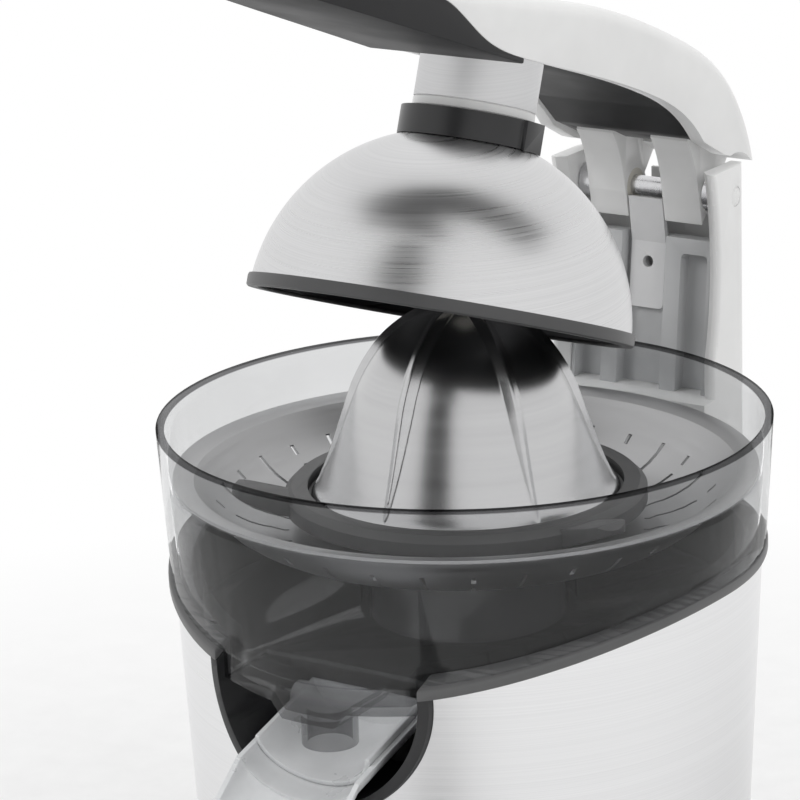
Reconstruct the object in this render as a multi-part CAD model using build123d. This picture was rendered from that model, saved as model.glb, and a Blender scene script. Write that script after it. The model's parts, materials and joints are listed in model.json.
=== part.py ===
"""Electric citrus press with a lever arm, in millimetres.

The origin is on the table under the reaming cone. +Z is up, -Y is the front with the spout,
+Y is the rear with the pillar. The arm is drawn closed and then raised to its rest angle.
"""
import os
from math import acos, cos, pi, radians, sin, sqrt, tan

from build123d import *

# Shared fits
OVERRUN = 5.0
FIT_GAP = 0.02
RUN_GAP = 0.05
SEAT_GAP = 0.2
MOVE_GAP = 0.5

# Bowl
RIM_Z = 215.0
BOWL_R = 93.0
BOWL_WALL = 2.5
BOWL_FLOOR = 2.0
BOWL_TAPER_SHARE = 0.06
BOWL_DEPTH = 62.0
LEDGE_DROP = 16.0
LEDGE_THICK = 2.0
LEDGE_WIDTH = 3.4
PAN_INSET = 9.3
PAN_DROP = 60.6
TOWER_R = 33.0
TOWER_DROP = 37.0
TOWER_HOLE_R = 12.0
FUNNEL_SIDE_GAP = 1.8
FUNNEL_LOW_HALF = 9.0
FUNNEL_KNEE_HALF = 13.0
FUNNEL_EDGE_DROP = 63.0
FUNNEL_KNEE_DROP = 64.8
FUNNEL_LOW_DROP = 69.5
FUNNEL_LENGTH = 31.0
FUNNEL_WALL = 2.0
NOZZLE_INSET = 16.0
NOZZLE_R = 8.4
NOZZLE_BORE_R = 6.6
NOZZLE_DROP = 79.0

# Deck under the bowl, level behind and bent down to the front
DECK_BEND_R = 228.0
DECK_DROP = 41.9
TRIM_THICK = 3.2
PAN_WALL = 1.6
TRIM_INSET = 1.8
SKIRT_DEPTH = 8.0
SKIRT_WALL = 2.5
HUB_R = 29.5
HUB_WALL = 3.0
HUB_DROP = 40.0
HUB_TOP_THICK = 4.0

# Steel sleeve, niche and base
SLEEVE_INSET = 11.5
SLEEVE_TAPER_SHARE = 0.0485
SLEEVE_WALL = 1.0
NICHE_R = 38.0
NICHE_DROP = 59.5
NICHE_WALL = 3.0
NICHE_PROUD = 2.0
NICHE_LENGTH = 48.0
FOOT_R = 9.0
FOOT_HEIGHT = 6.0
FOOT_STAND = 4.0
FOOT_EDGE = 18.0
FOOT_SPREAD = 46.0
FOOT_BACK_SPREAD = 20.0
FOOT_BACK_INSET = 17.5
BASE_THICK = 4.0
BASE_PROUD = 1.0

# Pillar
PILLAR_HALF = 30.0
PILLAR_GAP = 8.5
PILLAR_DEPTH = 28.0
PILLAR_CHEEK = 5.0
PILLAR_BACK_WALL = 3.0
PILLAR_REAR_ROUND = 12.0
PILLAR_INSIDE_ROUND = 5.0
PILLAR_EDGE_ROUND = 1.6
PILLAR_EDGE_BEVEL = 2.8
PILLAR_HOLLOW_R = 122.0
PILLAR_HOLLOW_DEPTH = 4.2
PILLAR_HOLLOW_RISE = 25.0
CHEEK_RISE = 10.0
CHEEK_TOP_R = 11.5
BACK_WALL_DROP = 3.0
BACK_TAB_RISE = 4.0
COLUMN_TUCK = 23.0
COLUMN_GAP = 3.0
SHELF_GAP = 2.0
SHELF_TOP = 196.0
SHELF_THICK = 3.0
PANEL_RECESS = 2.8
PANEL_THICK = 7.5
PANEL_LEAN = 7.0
PANEL_RISE = 31.0
FLUTE_DEPTH = 5.3
FLUTE_ROUND = 1.6
FLUTE_MIDDLE_HALF = 8.0
FLUTE_SIDE_NEAR = 13.8
FLUTE_SIDE_FAR = 23.4
FLUTE_TOP_GAP = 5.0
BRACKET_HALF = 6.2
BRACKET_THICK = 2.0
BRACKET_LOW_RISE = 6.5
BRACKET_CORNER = 1.6
BRACKET_KNEE_RISE = 28.0
BRACKET_TOP_RISE = 42.7
BRACKET_NOD = 3.9
BRACKET_HOLE_R = 1.9
BRACKET_HOLE_RISE = 21.5
GLAND_R = 8.0
GLAND_NECK_R = 6.0
GLAND_BORE_R = 3.3
GLAND_Z = 28.0
GLAND_FLANGE = 3.0
GLAND_TAIL = 4.0

# Lever arm, drawn closed
HINGE_SETBACK = 15.5
HINGE_RISE = 44.6
REST_ANGLE = 20.37
PIN_R = 3.2
PIN_INSET = 0.2
BUSH_R = 5.4
KNUCKLE_R = 8.6
BARREL_R = 6.7
KNUCKLE_IN = 6.8
KNUCKLE_OUT = 20.2
SPACER_R = 5.6
ARM_LENGTH = 274.5
ARM_RISE = 43.5
ARM_HALF = 29.5
ARM_WALL = 3.0
ARM_TAIL_R = 14.2
ARM_TOP_ROUND = 5.0
INSERT_RECESS = 1.5
INSERT_THICK = 3.0
# Reach along the arm from the hinge and rise above it, as shares of length and rise
ARM_TOP_SHARES = [(-0.043, 0.30), (0.004, 0.62), (0.070, 0.86), (0.180, 0.985), (0.355, 1.0),
                  (0.495, 0.91), (0.645, 0.80), (0.82, 0.71), (0.96, 0.64)]
ARM_PART_SHARES = [(0.097, 0.31), (0.15, 0.45), (0.235, 0.52), (0.487, 0.495), (0.575, 0.535),
                   (0.655, 0.70), (0.71, 0.72), (0.82, 0.645), (0.96, 0.575)]
ARM_TAIL_SHARES = [(-0.043, 0.30), (0.0, 0.28), (0.045, 0.27)]
ARM_TIP_SHARE = 0.52
ARM_BELLY_SHARE = 0.455
# Half-width along the reach
ARM_PLAN_SHARES = [(-0.06, 1.0), (0.2, 1.0), (0.4, 0.95), (0.6, 0.86), (0.8, 0.78), (0.93, 0.66)]
INSERT_FRONT_SHARE = 0.50
INSERT_REACH_SHARE = 0.54
POCKET_FRONT_SHARE = 0.515
POCKET_BACK_SHARE = 0.0
# Rear end of the dark insert, between the knuckles
INSERT_TAIL_SHARES = [(0.004, 0.335), (0.045, 0.285)]
# Front face of the knuckles round the hinge, in knuckle radii
TONGUE_SHARES = [(-2.33, 1.60), (-1.38, 0.72), (-0.69, -0.33), (-0.16, -1.22)]
KNUCKLE_TOP_SHARES = [(-2.33, 4.2), (-0.15, 3.05), (0.95, 1.55)]

# Press dome, measured up from the bottom of its ring when closed
DOME_RING_DROP = 10.86
DOME_R = 57.3
DOME_WALL = 1.0
DOME_SINK = 1.4
DOME_LIFT = 1.0
DOME_HOLE_R = 12.0
RING_R = 58.2
RING_IN_R = 54.5
RING_HEIGHT = 4.0
RING_FLOOR = 0.9
RING_WALL = 0.7
COLLAR_R = 21.5
COLLAR_TOP = 60.6
COLLAR_LUG_LENGTH = 0.8
COLLAR_LUG_HALF = 5.0
COLLAR_LUG_ANGLE = 0.0
COLLAR_LUG_LOW = 46.5
COLLAR_NECK_LOW = 52.0
STEM_R = 9.0
STEM_HEAD_R = 11.0
STEM_HEAD = 1.8
SLEEVE_RING_R = 18.4
SLEEVE_RING_IN_R = 15.5
SPACER_RING_HEIGHT = 3.0

# Cone and scraper, drops measured from the rim
CONE_BASE_R = 46.9
CONE_HEIGHT = 59.4
CONE_BASE_DROP = 23.9
CONE_WALL = 1.0
# Radius and height shares of the cone's outline from base to tip
CONE_SHARES = [(1.0, 0.012), (0.938, 0.083), (0.853, 0.227), (0.782, 0.367), (0.672, 0.596),
               (0.50, 0.806), (0.26, 0.95), (0.0, 1.0)]
RIB_COUNT = 6
RIB_HEIGHT = 2.0
RIB_HALF = 1.5
RIB_START_ANGLE = 33.5
RIB_LOW_SHARE = 0.14
RIB_FULL_SHARE = 0.33
RIB_TIP_SHARE = 0.5
CORE_LOW_R = 34.0
CORE_TOP_R = 12.0
CORE_HEIGHT = 46.0
SCRAPER_R = 55.0
SCRAPER_IN_R = 14.0
SCRAPER_FLOOR = 3.2
SCRAPER_RIM = 3.2
SCRAPER_RIM_WIDTH = 7.0
WING_COUNT = 3
WING_START_ANGLE = 100.0
WING_HALF = 7.0
WING_END_R = 71.0
WING_THICK = 2.6
WING_ROOT_DROP = 26.0
WING_TIP_DROP = 20.3

# Strainer, drops measured from the rim
STRAINER_RIM_GAP = 0.94
STRAINER_WALL = 1.0
STRAINER_LIP = 2.6
STRAINER_STEP = 3.7
STRAINER_STEP_DROP = 17.2
SCRAPER_GAP = 3.0
STRAINER_LOW_DROP = 34.2
STRAINER_KNEE = 2.4
STRAINER_FLOOR_DROP = 35.0
STRAINER_BELLY_SHARE = 0.588
STRAINER_BELLY_DROP_SHARE = 0.647
STRAINER_HOLE_R = 22.0
SLOT_COUNT = 16
SLOT_HALF = 0.6
SLOT_NEAR_INSET = 4.0
SLOT_FAR_GAP = 6.2
SPLIT_SLOT_FAR_GAP = 12.3
SHORT_SLOT_LENGTH = 2.6
SHORT_SLOT_FAR_GAP = 6.5

# Spout
SPOUT_PIVOT_INSET = 35.0
SPOUT_PIVOT_DROP = 75.0
SPOUT_RISE = 5.2
SPOUT_SLOPE = 15.0
SPOUT_NOSE_SLOPE = 38.0
SPOUT_WALL = 1.6
TRAY_HALF = 20.0
TRAY_DEPTH = 13.0
TRAY_FRONT = 28.6
NOSE_DROP = 2.2
NOSE_FRONT = 37.0
NOSE_LENGTH = 36.0
NOSE_TUCK = 8.0
SPOUT_BACK = 3.0
SPOUT_LUG_R = 4.5
SPOUT_LUG_WIDTH = 4.0
SPOUT_PIN_R = 1.5
SPOUT_PIN_INSET = 1.6

# Gearbox and drive
PLATE_Z = 80.0
PLATE_THICK = 4.0
PLATE_HALF_X = 58.0
PLATE_CENTRE_X = 6.0
PLATE_HALF_Y = 46.0
COVER_THICK = 3.0
LEVEL_GAP = 2.0
PRESS_TRAVEL = 1.2
FINE_MODULE = 1.0
COARSE_MODULE = 1.25
MOTOR_TEETH = 10
IDLER_TEETH = 48
IDLER_PINION_TEETH = 12
OUTPUT_TEETH = 60
FINE_FACE = 8.0
COARSE_FACE = 8.0
PRESSURE_ANGLE = 20.0
ADDENDUM_SHARE = 0.85
DEDENDUM_SHARE = 1.2
BACKLASH_SHARE = 0.22
CENTRE_SPARE = 0.25
IDLER_ANGLE = 0.0
MOTOR_ANGLE = 120.0
SHAFT_R = 4.0
SHAFT_TOP_RISE = 6.0
BUSHING_R = 7.0
BUSHING_LENGTH = 9.0
SEAL_HEIGHT = 3.0
AXLE_R = 3.0
MOTOR_R = 22.0
MOTOR_LENGTH = 50.0
MOTOR_SHAFT_R = 1.6
MOTOR_SHAFT_TAIL = 42.0
MOTOR_CAN_WALL = 4.0
ROTOR_R = 16.0
ROTOR_LENGTH = 30.0
MOTOR_SCREW_SPREAD = 12.0
CUP_R = 9.0
CUP_HEIGHT = 11.0
CUP_TAB = 22.0
CUP_TAB_HALF = 4.0
CUP_TAB_THICK = 3.0
GUIDE_WALL = 2.5
SPRING_R = 8.0
SPRING_WALL = 1.4
SPRING_LENGTH = 26.0
POST_R = 5.0
SWITCH_X = -19.0
SWITCH_LENGTH = 14.0
SWITCH_WIDTH = 7.0
SWITCH_HEIGHT = 14.0
BUTTON_R = 1.5
BUTTON_RISE = 3.6
SCREW_R = 1.9
SCREW_HEAD_R = 3.5
SCREW_HEAD = 2.6
SCREW_LENGTH = 15.0

# Values worked out from the sizes above
PAN_R = BOWL_R - PAN_INSET
TRIM_R = BOWL_R - TRIM_INSET
SLEEVE_BASE_R = BOWL_R - SLEEVE_INSET
STRAINER_R = BOWL_R - LEDGE_DROP * BOWL_TAPER_SHARE - BOWL_WALL - STRAINER_RIM_GAP
STRAINER_LIP_R = STRAINER_R - STRAINER_LIP
STRAINER_STEP_R = STRAINER_LIP_R - STRAINER_STEP
STRAINER_LOW_R = SCRAPER_R + SCRAPER_GAP
STRAINER_FLOOR_R = STRAINER_LOW_R - STRAINER_KNEE
SLOT_NEAR_R = STRAINER_LOW_R - SLOT_NEAR_INSET
SLOT_FAR_R = STRAINER_STEP_R - SLOT_FAR_GAP
SPLIT_SLOT_FAR_R = STRAINER_STEP_R - SPLIT_SLOT_FAR_GAP
SHORT_SLOT_FAR_R = STRAINER_STEP_R - SHORT_SLOT_FAR_GAP
SHORT_SLOT_NEAR_R = SHORT_SLOT_FAR_R - SHORT_SLOT_LENGTH
NOZZLE_Y = NOZZLE_INSET - BOWL_R
FUNNEL_REAR_Y = FUNNEL_LENGTH - BOWL_R
NICHE_REAR_Y = NICHE_LENGTH - BOWL_R
FUNNEL_HALF = NICHE_R - NICHE_WALL - FUNNEL_SIDE_GAP
SPOUT_PIN_HALF = sqrt(NICHE_R ** 2 - (SPOUT_PIVOT_DROP - NICHE_DROP) ** 2) - SPOUT_PIN_INSET
SPOUT_PIVOT_Y = SPOUT_PIVOT_INSET - BOWL_R
PILLAR_FRONT = BOWL_R + PILLAR_GAP
PILLAR_REAR = PILLAR_FRONT + PILLAR_DEPTH
COLUMN_FRONT = BOWL_R - COLUMN_TUCK
CUP_LOW_Z = RIM_Z - PAN_DROP - BOWL_FLOOR - PAN_WALL
COLUMN_TOP = CUP_LOW_Z - COLUMN_GAP
SHELF_FRONT = BOWL_R + SHELF_GAP
PANEL_FACE_Y = PILLAR_FRONT + PANEL_RECESS
PANEL_BACK_Y = PANEL_FACE_Y + PANEL_THICK
HINGE_Y = PILLAR_FRONT + HINGE_SETBACK
HINGE_Z = RIM_Z + HINGE_RISE
DECK_Z = RIM_Z - DECK_DROP
DECK_DIP = DECK_BEND_R - sqrt(DECK_BEND_R ** 2 - TRIM_R ** 2)
BASE_LOW = FOOT_STAND
BASE_TOP = BASE_LOW + BASE_THICK
PILLAR_IN = PILLAR_HALF - PILLAR_CHEEK
NICHE_Z = RIM_Z - NICHE_DROP
DOME_LOW_Z = RIM_Z - DOME_RING_DROP
CONE_LOW_Z = RIM_Z - CONE_BASE_DROP
FINE_Z = PLATE_Z + PLATE_THICK + LEVEL_GAP
COARSE_Z = FINE_Z + FINE_FACE + LEVEL_GAP + PRESS_TRAVEL / 2
PINION_TOP = COARSE_Z + COARSE_FACE + LEVEL_GAP
COVER_Z = PINION_TOP + LEVEL_GAP / 2
CUP_TOP = PLATE_Z - LEVEL_GAP
SPRING_TOP = CUP_TOP - CUP_HEIGHT
SPRING_LOW = SPRING_TOP - SPRING_LENGTH
WORLD = BOWL_R * 4
PARTS = {}


def keep(name, shape):
    """Remember a finished piece under its node name."""
    PARTS[name] = shape
    return shape


def cyl(radius, low, high, x=0.0, y=0.0):
    """Upright cylinder between two heights."""
    up = (Align.CENTER, Align.CENTER, Align.MIN)
    return Pos(x, y, low) * Cylinder(radius, high - low, align=up)


def tube(radius, hole, low, high, x=0.0, y=0.0):
    """Upright tube between two heights."""
    return cyl(radius, low, high, x, y) - cyl(hole, low - OVERRUN, high + OVERRUN, x, y)


def cyl_x(radius, left, right, y, z):
    """Cylinder along X between two sides."""
    along = (Align.CENTER, Align.CENTER, Align.MIN)
    return Pos(left, y, z) * Rot(0, 90, 0) * Cylinder(radius, right - left, align=along)


def cyl_y(radius, front, back, x, z):
    """Cylinder along Y between two places."""
    along = (Align.CENTER, Align.CENTER, Align.MAX)
    return Pos(x, front, z) * Rot(90, 0, 0) * Cylinder(radius, back - front, align=along)


def block(x_low, x_high, y_low, y_high, z_low, z_high):
    """Box between two corners."""
    size = (x_high - x_low, y_high - y_low, z_high - z_low)
    return Pos(x_low, y_low, z_low) * Box(*size, align=(Align.MIN, Align.MIN, Align.MIN))


def frustum(low_r, high_r, low, high):
    """Upright cone frustum between two heights."""
    up = (Align.CENTER, Align.CENTER, Align.MIN)
    return Pos(0, 0, low) * Cone(low_r, high_r, high - low, align=up)


def spun(points):
    """Solid of revolution about Z from radius and height points."""
    outline = Polyline([(r, 0, z) for r, z in points], close=True)
    return revolve(make_face(outline), Axis.Z)


def side_slab(outline, half):
    """Extrude a closed outline in the YZ plane to both sides."""
    face = make_face(outline)
    return extrude(face, amount=half, dir=(1, 0, 0), both=True)


def around(shape, count, start=0.0):
    """Copies of a shape turned evenly about Z."""
    return [Rot(0, 0, start + 360.0 / count * i) * shape for i in range(count)]


def above_deck(offset):
    """Everything above the deck, level behind and bent down to the front, raised by an offset."""
    bend_z = DECK_Z - DECK_BEND_R
    front = block(-WORLD, WORLD, -WORLD, 0, bend_z, RIM_Z + WORLD)
    front -= cyl_x(DECK_BEND_R + offset, -WORLD * 2, WORLD * 2, 0, bend_z)
    return front + block(-WORLD, WORLD, 0, WORLD, DECK_Z + offset, RIM_Z + WORLD)


def bowl_radius(z):
    """Outer radius of the bowl at a height."""
    return BOWL_R - (RIM_Z - z) * BOWL_TAPER_SHARE


def sleeve_radius(z):
    """Outer radius of the steel sleeve at a height."""
    return SLEEVE_BASE_R + (z - BASE_TOP) * SLEEVE_TAPER_SHARE


def sleeve_body(inset):
    """Tapered round body of the sleeve, moved in by an inset."""
    return frustum(sleeve_radius(BASE_TOP) - inset, sleeve_radius(RIM_Z) - inset, BASE_TOP, RIM_Z)


def niche_outline(radius, low_y, high_y):
    """Half-round niche shape along Y, open at the top."""
    round_part = cyl_y(radius, low_y, high_y, 0, NICHE_Z)
    sides = block(-radius, radius, low_y, high_y, NICHE_Z, RIM_Z)
    return round_part + sides


def raised(shape):
    """Turn a piece of the closed arm up to its rest angle about the hinge."""
    return shape.rotate(Axis((0, HINGE_Y, HINGE_Z), (1, 0, 0)), -REST_ANGLE)


def arm_point(reach_share, rise_share, lower=0.0):
    """Point of the closed arm's side outline, from its reach and rise shares."""
    return (0, HINGE_Y - reach_share * ARM_LENGTH, HINGE_Z + rise_share * ARM_RISE - lower)


def gear_face(teeth, module):
    """Flat involute gear outline with three points on each flank."""
    pitch_r = teeth * module / 2
    base_r = pitch_r * cos(radians(PRESSURE_ANGLE))
    tip_r = pitch_r + ADDENDUM_SHARE * module
    root_r = pitch_r - DEDENDUM_SHARE * module
    flank_r = max(base_r, root_r)
    half_pitch = (pi / 2 - BACKLASH_SHARE) / 2 * module / pitch_r

    def half_angle(radius):
        turn = acos(base_r / radius)
        full = radians(PRESSURE_ANGLE)
        return half_pitch + (tan(full) - full) - (tan(turn) - turn)

    sides = [(root_r, half_angle(flank_r))]
    if flank_r > root_r:
        sides.append((flank_r, half_angle(flank_r)))
    sides += [(pitch_r, half_angle(pitch_r)), (tip_r, half_angle(tip_r))]
    points = []
    for tooth in range(teeth):
        centre = 2 * pi * tooth / teeth
        for radius, turn in sides:
            points.append((radius * cos(centre - turn), radius * sin(centre - turn)))
        for radius, turn in reversed(sides):
            points.append((radius * cos(centre + turn), radius * sin(centre + turn)))
    return make_face(Polyline(points, close=True))


def gear(teeth, module, low, face, x, y, turn):
    """Spur gear at a place, turned by an angle in degrees."""
    solid = extrude(gear_face(teeth, module), amount=face)
    return Pos(x, y, low) * Rot(0, 0, turn) * solid


def screw(low, high, x, y, head_up=True):
    """Pan-head screw along Z with its head at the upper or lower end."""
    shank = cyl(SCREW_R, low, high, x, y)
    if head_up:
        return shank + cyl(SCREW_HEAD_R, high, high + SCREW_HEAD, x, y)
    return shank + cyl(SCREW_HEAD_R, low - SCREW_HEAD, low, x, y)


def make_bowl():
    """Clear bowl with its tower, funnel and outlet nozzle."""
    low = RIM_Z - BOWL_DEPTH
    rest = above_deck(TRIM_THICK)
    outer = frustum(bowl_radius(low), BOWL_R, low, RIM_Z) & rest
    top_in = RIM_Z + OVERRUN
    inner = frustum(bowl_radius(low) - BOWL_WALL, bowl_radius(top_in) - BOWL_WALL, low, top_in)
    pan_top = RIM_Z - PAN_DROP
    bowl = outer + cyl(PAN_R, pan_top - BOWL_FLOOR, RIM_Z - LEDGE_DROP)
    bowl -= inner & above_deck(TRIM_THICK + BOWL_FLOOR)
    bowl -= cyl(PAN_R - BOWL_WALL, pan_top, top_in)
    ledge_top = RIM_Z - LEDGE_DROP - STRAINER_WALL
    ledge_out = bowl_radius(ledge_top) - BOWL_WALL / 2
    ledge_in = bowl_radius(ledge_top) - BOWL_WALL - LEDGE_WIDTH
    bowl += tube(ledge_out, ledge_in, ledge_top - LEDGE_THICK, ledge_top)
    tower_top = RIM_Z - TOWER_DROP
    bowl += cyl(TOWER_R, pan_top - BOWL_FLOOR, tower_top) + (cyl(TOWER_R, low, tower_top) & rest)
    bowl -= cyl(TOWER_R - BOWL_WALL, low - OVERRUN, tower_top - BOWL_WALL)
    bowl -= cyl(TOWER_HOLE_R, low, tower_top + OVERRUN)
    front = -bowl_radius(RIM_Z - FUNNEL_LOW_DROP)

    def wedge(inset, top):
        edge = RIM_Z - FUNNEL_EDGE_DROP + inset
        knee = RIM_Z - FUNNEL_KNEE_DROP + inset
        base = RIM_Z - FUNNEL_LOW_DROP + inset
        side = FUNNEL_HALF - inset
        points = [(-side, top), (-side, edge), (-FUNNEL_KNEE_HALF, knee), (-FUNNEL_LOW_HALF, base),
                  (FUNNEL_LOW_HALF, base), (FUNNEL_KNEE_HALF, knee), (side, edge), (side, top)]
        rear = FUNNEL_REAR_Y - inset
        outline = Polyline([(x, rear, z) for x, z in points], close=True)
        solid = extrude(make_face(outline), amount=rear - front + OVERRUN, dir=(0, -1, 0))
        return solid & cyl(-front - inset, base - OVERRUN, top + OVERRUN)

    floor_top = above_deck(TRIM_THICK + BOWL_FLOOR / 2)
    inside = above_deck(TRIM_THICK + BOWL_FLOOR)
    funnel_top = RIM_Z - LEDGE_DROP * 2
    bowl += wedge(0, funnel_top) - floor_top
    bowl += cyl(NOZZLE_R, RIM_Z - NOZZLE_DROP, RIM_Z - FUNNEL_LOW_DROP + FUNNEL_WALL, y=NOZZLE_Y)
    bowl -= wedge(FUNNEL_WALL, funnel_top) - inside
    bowl -= tube(PAN_R - BOWL_WALL, TOWER_R, pan_top, top_in)
    bowl -= cyl(NOZZLE_BORE_R, RIM_Z - NOZZLE_DROP - OVERRUN, RIM_Z - FUNNEL_EDGE_DROP, y=NOZZLE_Y)
    return keep("bowl", bowl)


def make_deck():
    """Dark deck, bent down to the front, with its trim edge, skirt and hub."""
    tall = cyl(TRIM_R, BASE_TOP, RIM_Z)
    deck = (tall & above_deck(0)) - above_deck(TRIM_THICK)
    pan_low = RIM_Z - PAN_DROP - BOWL_FLOOR
    cup = cyl(PAN_R + PAN_WALL, CUP_LOW_Z, RIM_Z) - above_deck(TRIM_THICK / 2)
    deck += cup
    skirt_r = sleeve_radius(DECK_Z - DECK_DIP) - SLEEVE_WALL - MOVE_GAP
    skirt = tube(skirt_r - SKIRT_WALL, skirt_r - SKIRT_WALL * 2, BASE_TOP, RIM_Z)
    skirt -= niche_outline(NICHE_R + SEAT_GAP, -WORLD, 0)
    deck += (skirt & above_deck(-SKIRT_DEPTH)) - above_deck(TRIM_THICK / 2)
    deck -= cyl(PAN_R + SEAT_GAP, pan_low, RIM_Z)
    hub_top = RIM_Z - HUB_DROP
    deck += cyl(HUB_R, CUP_LOW_Z, hub_top)
    deck -= cyl(HUB_R - HUB_WALL, BASE_TOP, hub_top - HUB_TOP_THICK)
    deck += tube(BUSHING_R + HUB_WALL, BUSHING_R + FIT_GAP, hub_top - BUSHING_LENGTH, hub_top)
    deck -= cyl(BUSHING_R + FIT_GAP, BASE_TOP, hub_top + OVERRUN)
    cut_half = NICHE_R - NICHE_WALL
    deck -= block(-cut_half, cut_half, -WORLD, FUNNEL_REAR_Y + FUNNEL_WALL * 2, BASE_TOP, RIM_Z)
    return keep("top_deck", deck)


def make_sleeve():
    """Brushed steel sleeve with the niche and the rear slot cut out."""
    sleeve = sleeve_body(0) - sleeve_body(SLEEVE_WALL)
    sleeve -= above_deck(0)
    sleeve -= niche_outline(NICHE_R + SEAT_GAP, -WORLD, 0)
    slot = PILLAR_HALF + SEAT_GAP
    sleeve -= block(-slot, slot, 0, WORLD, 0, COLUMN_TOP + SEAT_GAP)
    return keep("body_sleeve", sleeve)


def make_niche():
    """Half-round dark niche liner with its frame and the spout's pin bores."""
    outer = niche_outline(NICHE_R, -WORLD, NICHE_REAR_Y)
    inner = niche_outline(NICHE_R - NICHE_WALL, -WORLD, NICHE_REAR_Y - NICHE_WALL)
    liner = (outer - inner) & sleeve_body(-NICHE_PROUD)
    liner -= above_deck(0)
    liner -= cyl(PAN_R + PAN_WALL + SEAT_GAP, CUP_LOW_Z - SEAT_GAP, RIM_Z)
    pin_z = RIM_Z - SPOUT_PIVOT_DROP
    liner -= cyl_x(SPOUT_PIN_R + FIT_GAP, -WORLD, WORLD, SPOUT_PIVOT_Y, pin_z)
    return keep("niche_liner", liner)


def make_base():
    """Base plate with its posts, feet and screws."""
    plate_r = SLEEVE_BASE_R + BASE_PROUD
    foot_front = (FOOT_SPREAD, -sqrt((SLEEVE_BASE_R - FOOT_EDGE) ** 2 - FOOT_SPREAD ** 2))
    foot_back = (FOOT_BACK_SPREAD, PILLAR_REAR - FOOT_BACK_INSET)
    plate = cyl(plate_r, BASE_LOW, BASE_TOP)
    tongue = block(-PILLAR_HALF, PILLAR_HALF, 0, PILLAR_REAR, BASE_LOW, BASE_TOP)
    plate += fillet(tongue.edges().filter_by(Axis.Z).group_by(Axis.Y)[-1], PILLAR_REAR_ROUND)
    feet = []
    for x, y in (foot_front, foot_back):
        for side in (-1, 1):
            plate -= cyl(FOOT_R + SEAT_GAP, 0, FOOT_HEIGHT, side * x, y)
            foot = cyl(FOOT_R, 0, FOOT_HEIGHT, side * x, y)
            feet.append(chamfer(foot.edges().group_by(Axis.Z)[0], FOOT_HEIGHT - FOOT_STAND))
    posts = []
    screws = []
    for sx in (-1, 1):
        for sy in (-1, 1):
            x = PLATE_CENTRE_X + sx * (PLATE_HALF_X - POST_R)
            y = sy * (PLATE_HALF_Y - POST_R)
            posts.append(cyl(POST_R, BASE_TOP - BASE_THICK / 2, PLATE_Z, x, y))
            screws.append(screw(PLATE_Z + PLATE_THICK - SCREW_LENGTH, PLATE_Z + PLATE_THICK, x, y))
    for post, fixing in zip(posts, screws):
        place = fixing.center()
        plate += post
        plate -= cyl(SCREW_R + FIT_GAP, PLATE_Z - SCREW_LENGTH, PLATE_Z + OVERRUN, place.X, place.Y)
    plate += cyl(CUP_R, BASE_TOP - BASE_THICK / 2, SPRING_LOW)
    switch_low = SPRING_TOP - BUTTON_RISE - SWITCH_HEIGHT
    half = SWITCH_WIDTH / 2
    plate += block(SWITCH_X - SWITCH_LENGTH / 2, SWITCH_X + SWITCH_LENGTH / 2, -half, half,
                   BASE_TOP - BASE_THICK / 2, switch_low)
    boss_y = PILLAR_REAR - PILLAR_BACK_WALL - SCREW_HEAD_R * 2
    base_screws = []
    for side in (-1, 1):
        x = side * (PILLAR_IN - SCREW_HEAD_R)
        plate -= cyl(SCREW_R + SEAT_GAP, 0, BASE_TOP + OVERRUN, x, boss_y - FOOT_R * 3)
        base_screws.append(screw(BASE_LOW, BASE_TOP + SCREW_LENGTH, x, boss_y - FOOT_R * 3, head_up=False))
    keep("base_plate", plate)
    keep("rubber_feet", Compound(children=feet))
    keep("gearbox_screws", Compound(children=screws))
    keep("base_screws", Compound(children=base_screws))
    return base_screws


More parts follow.
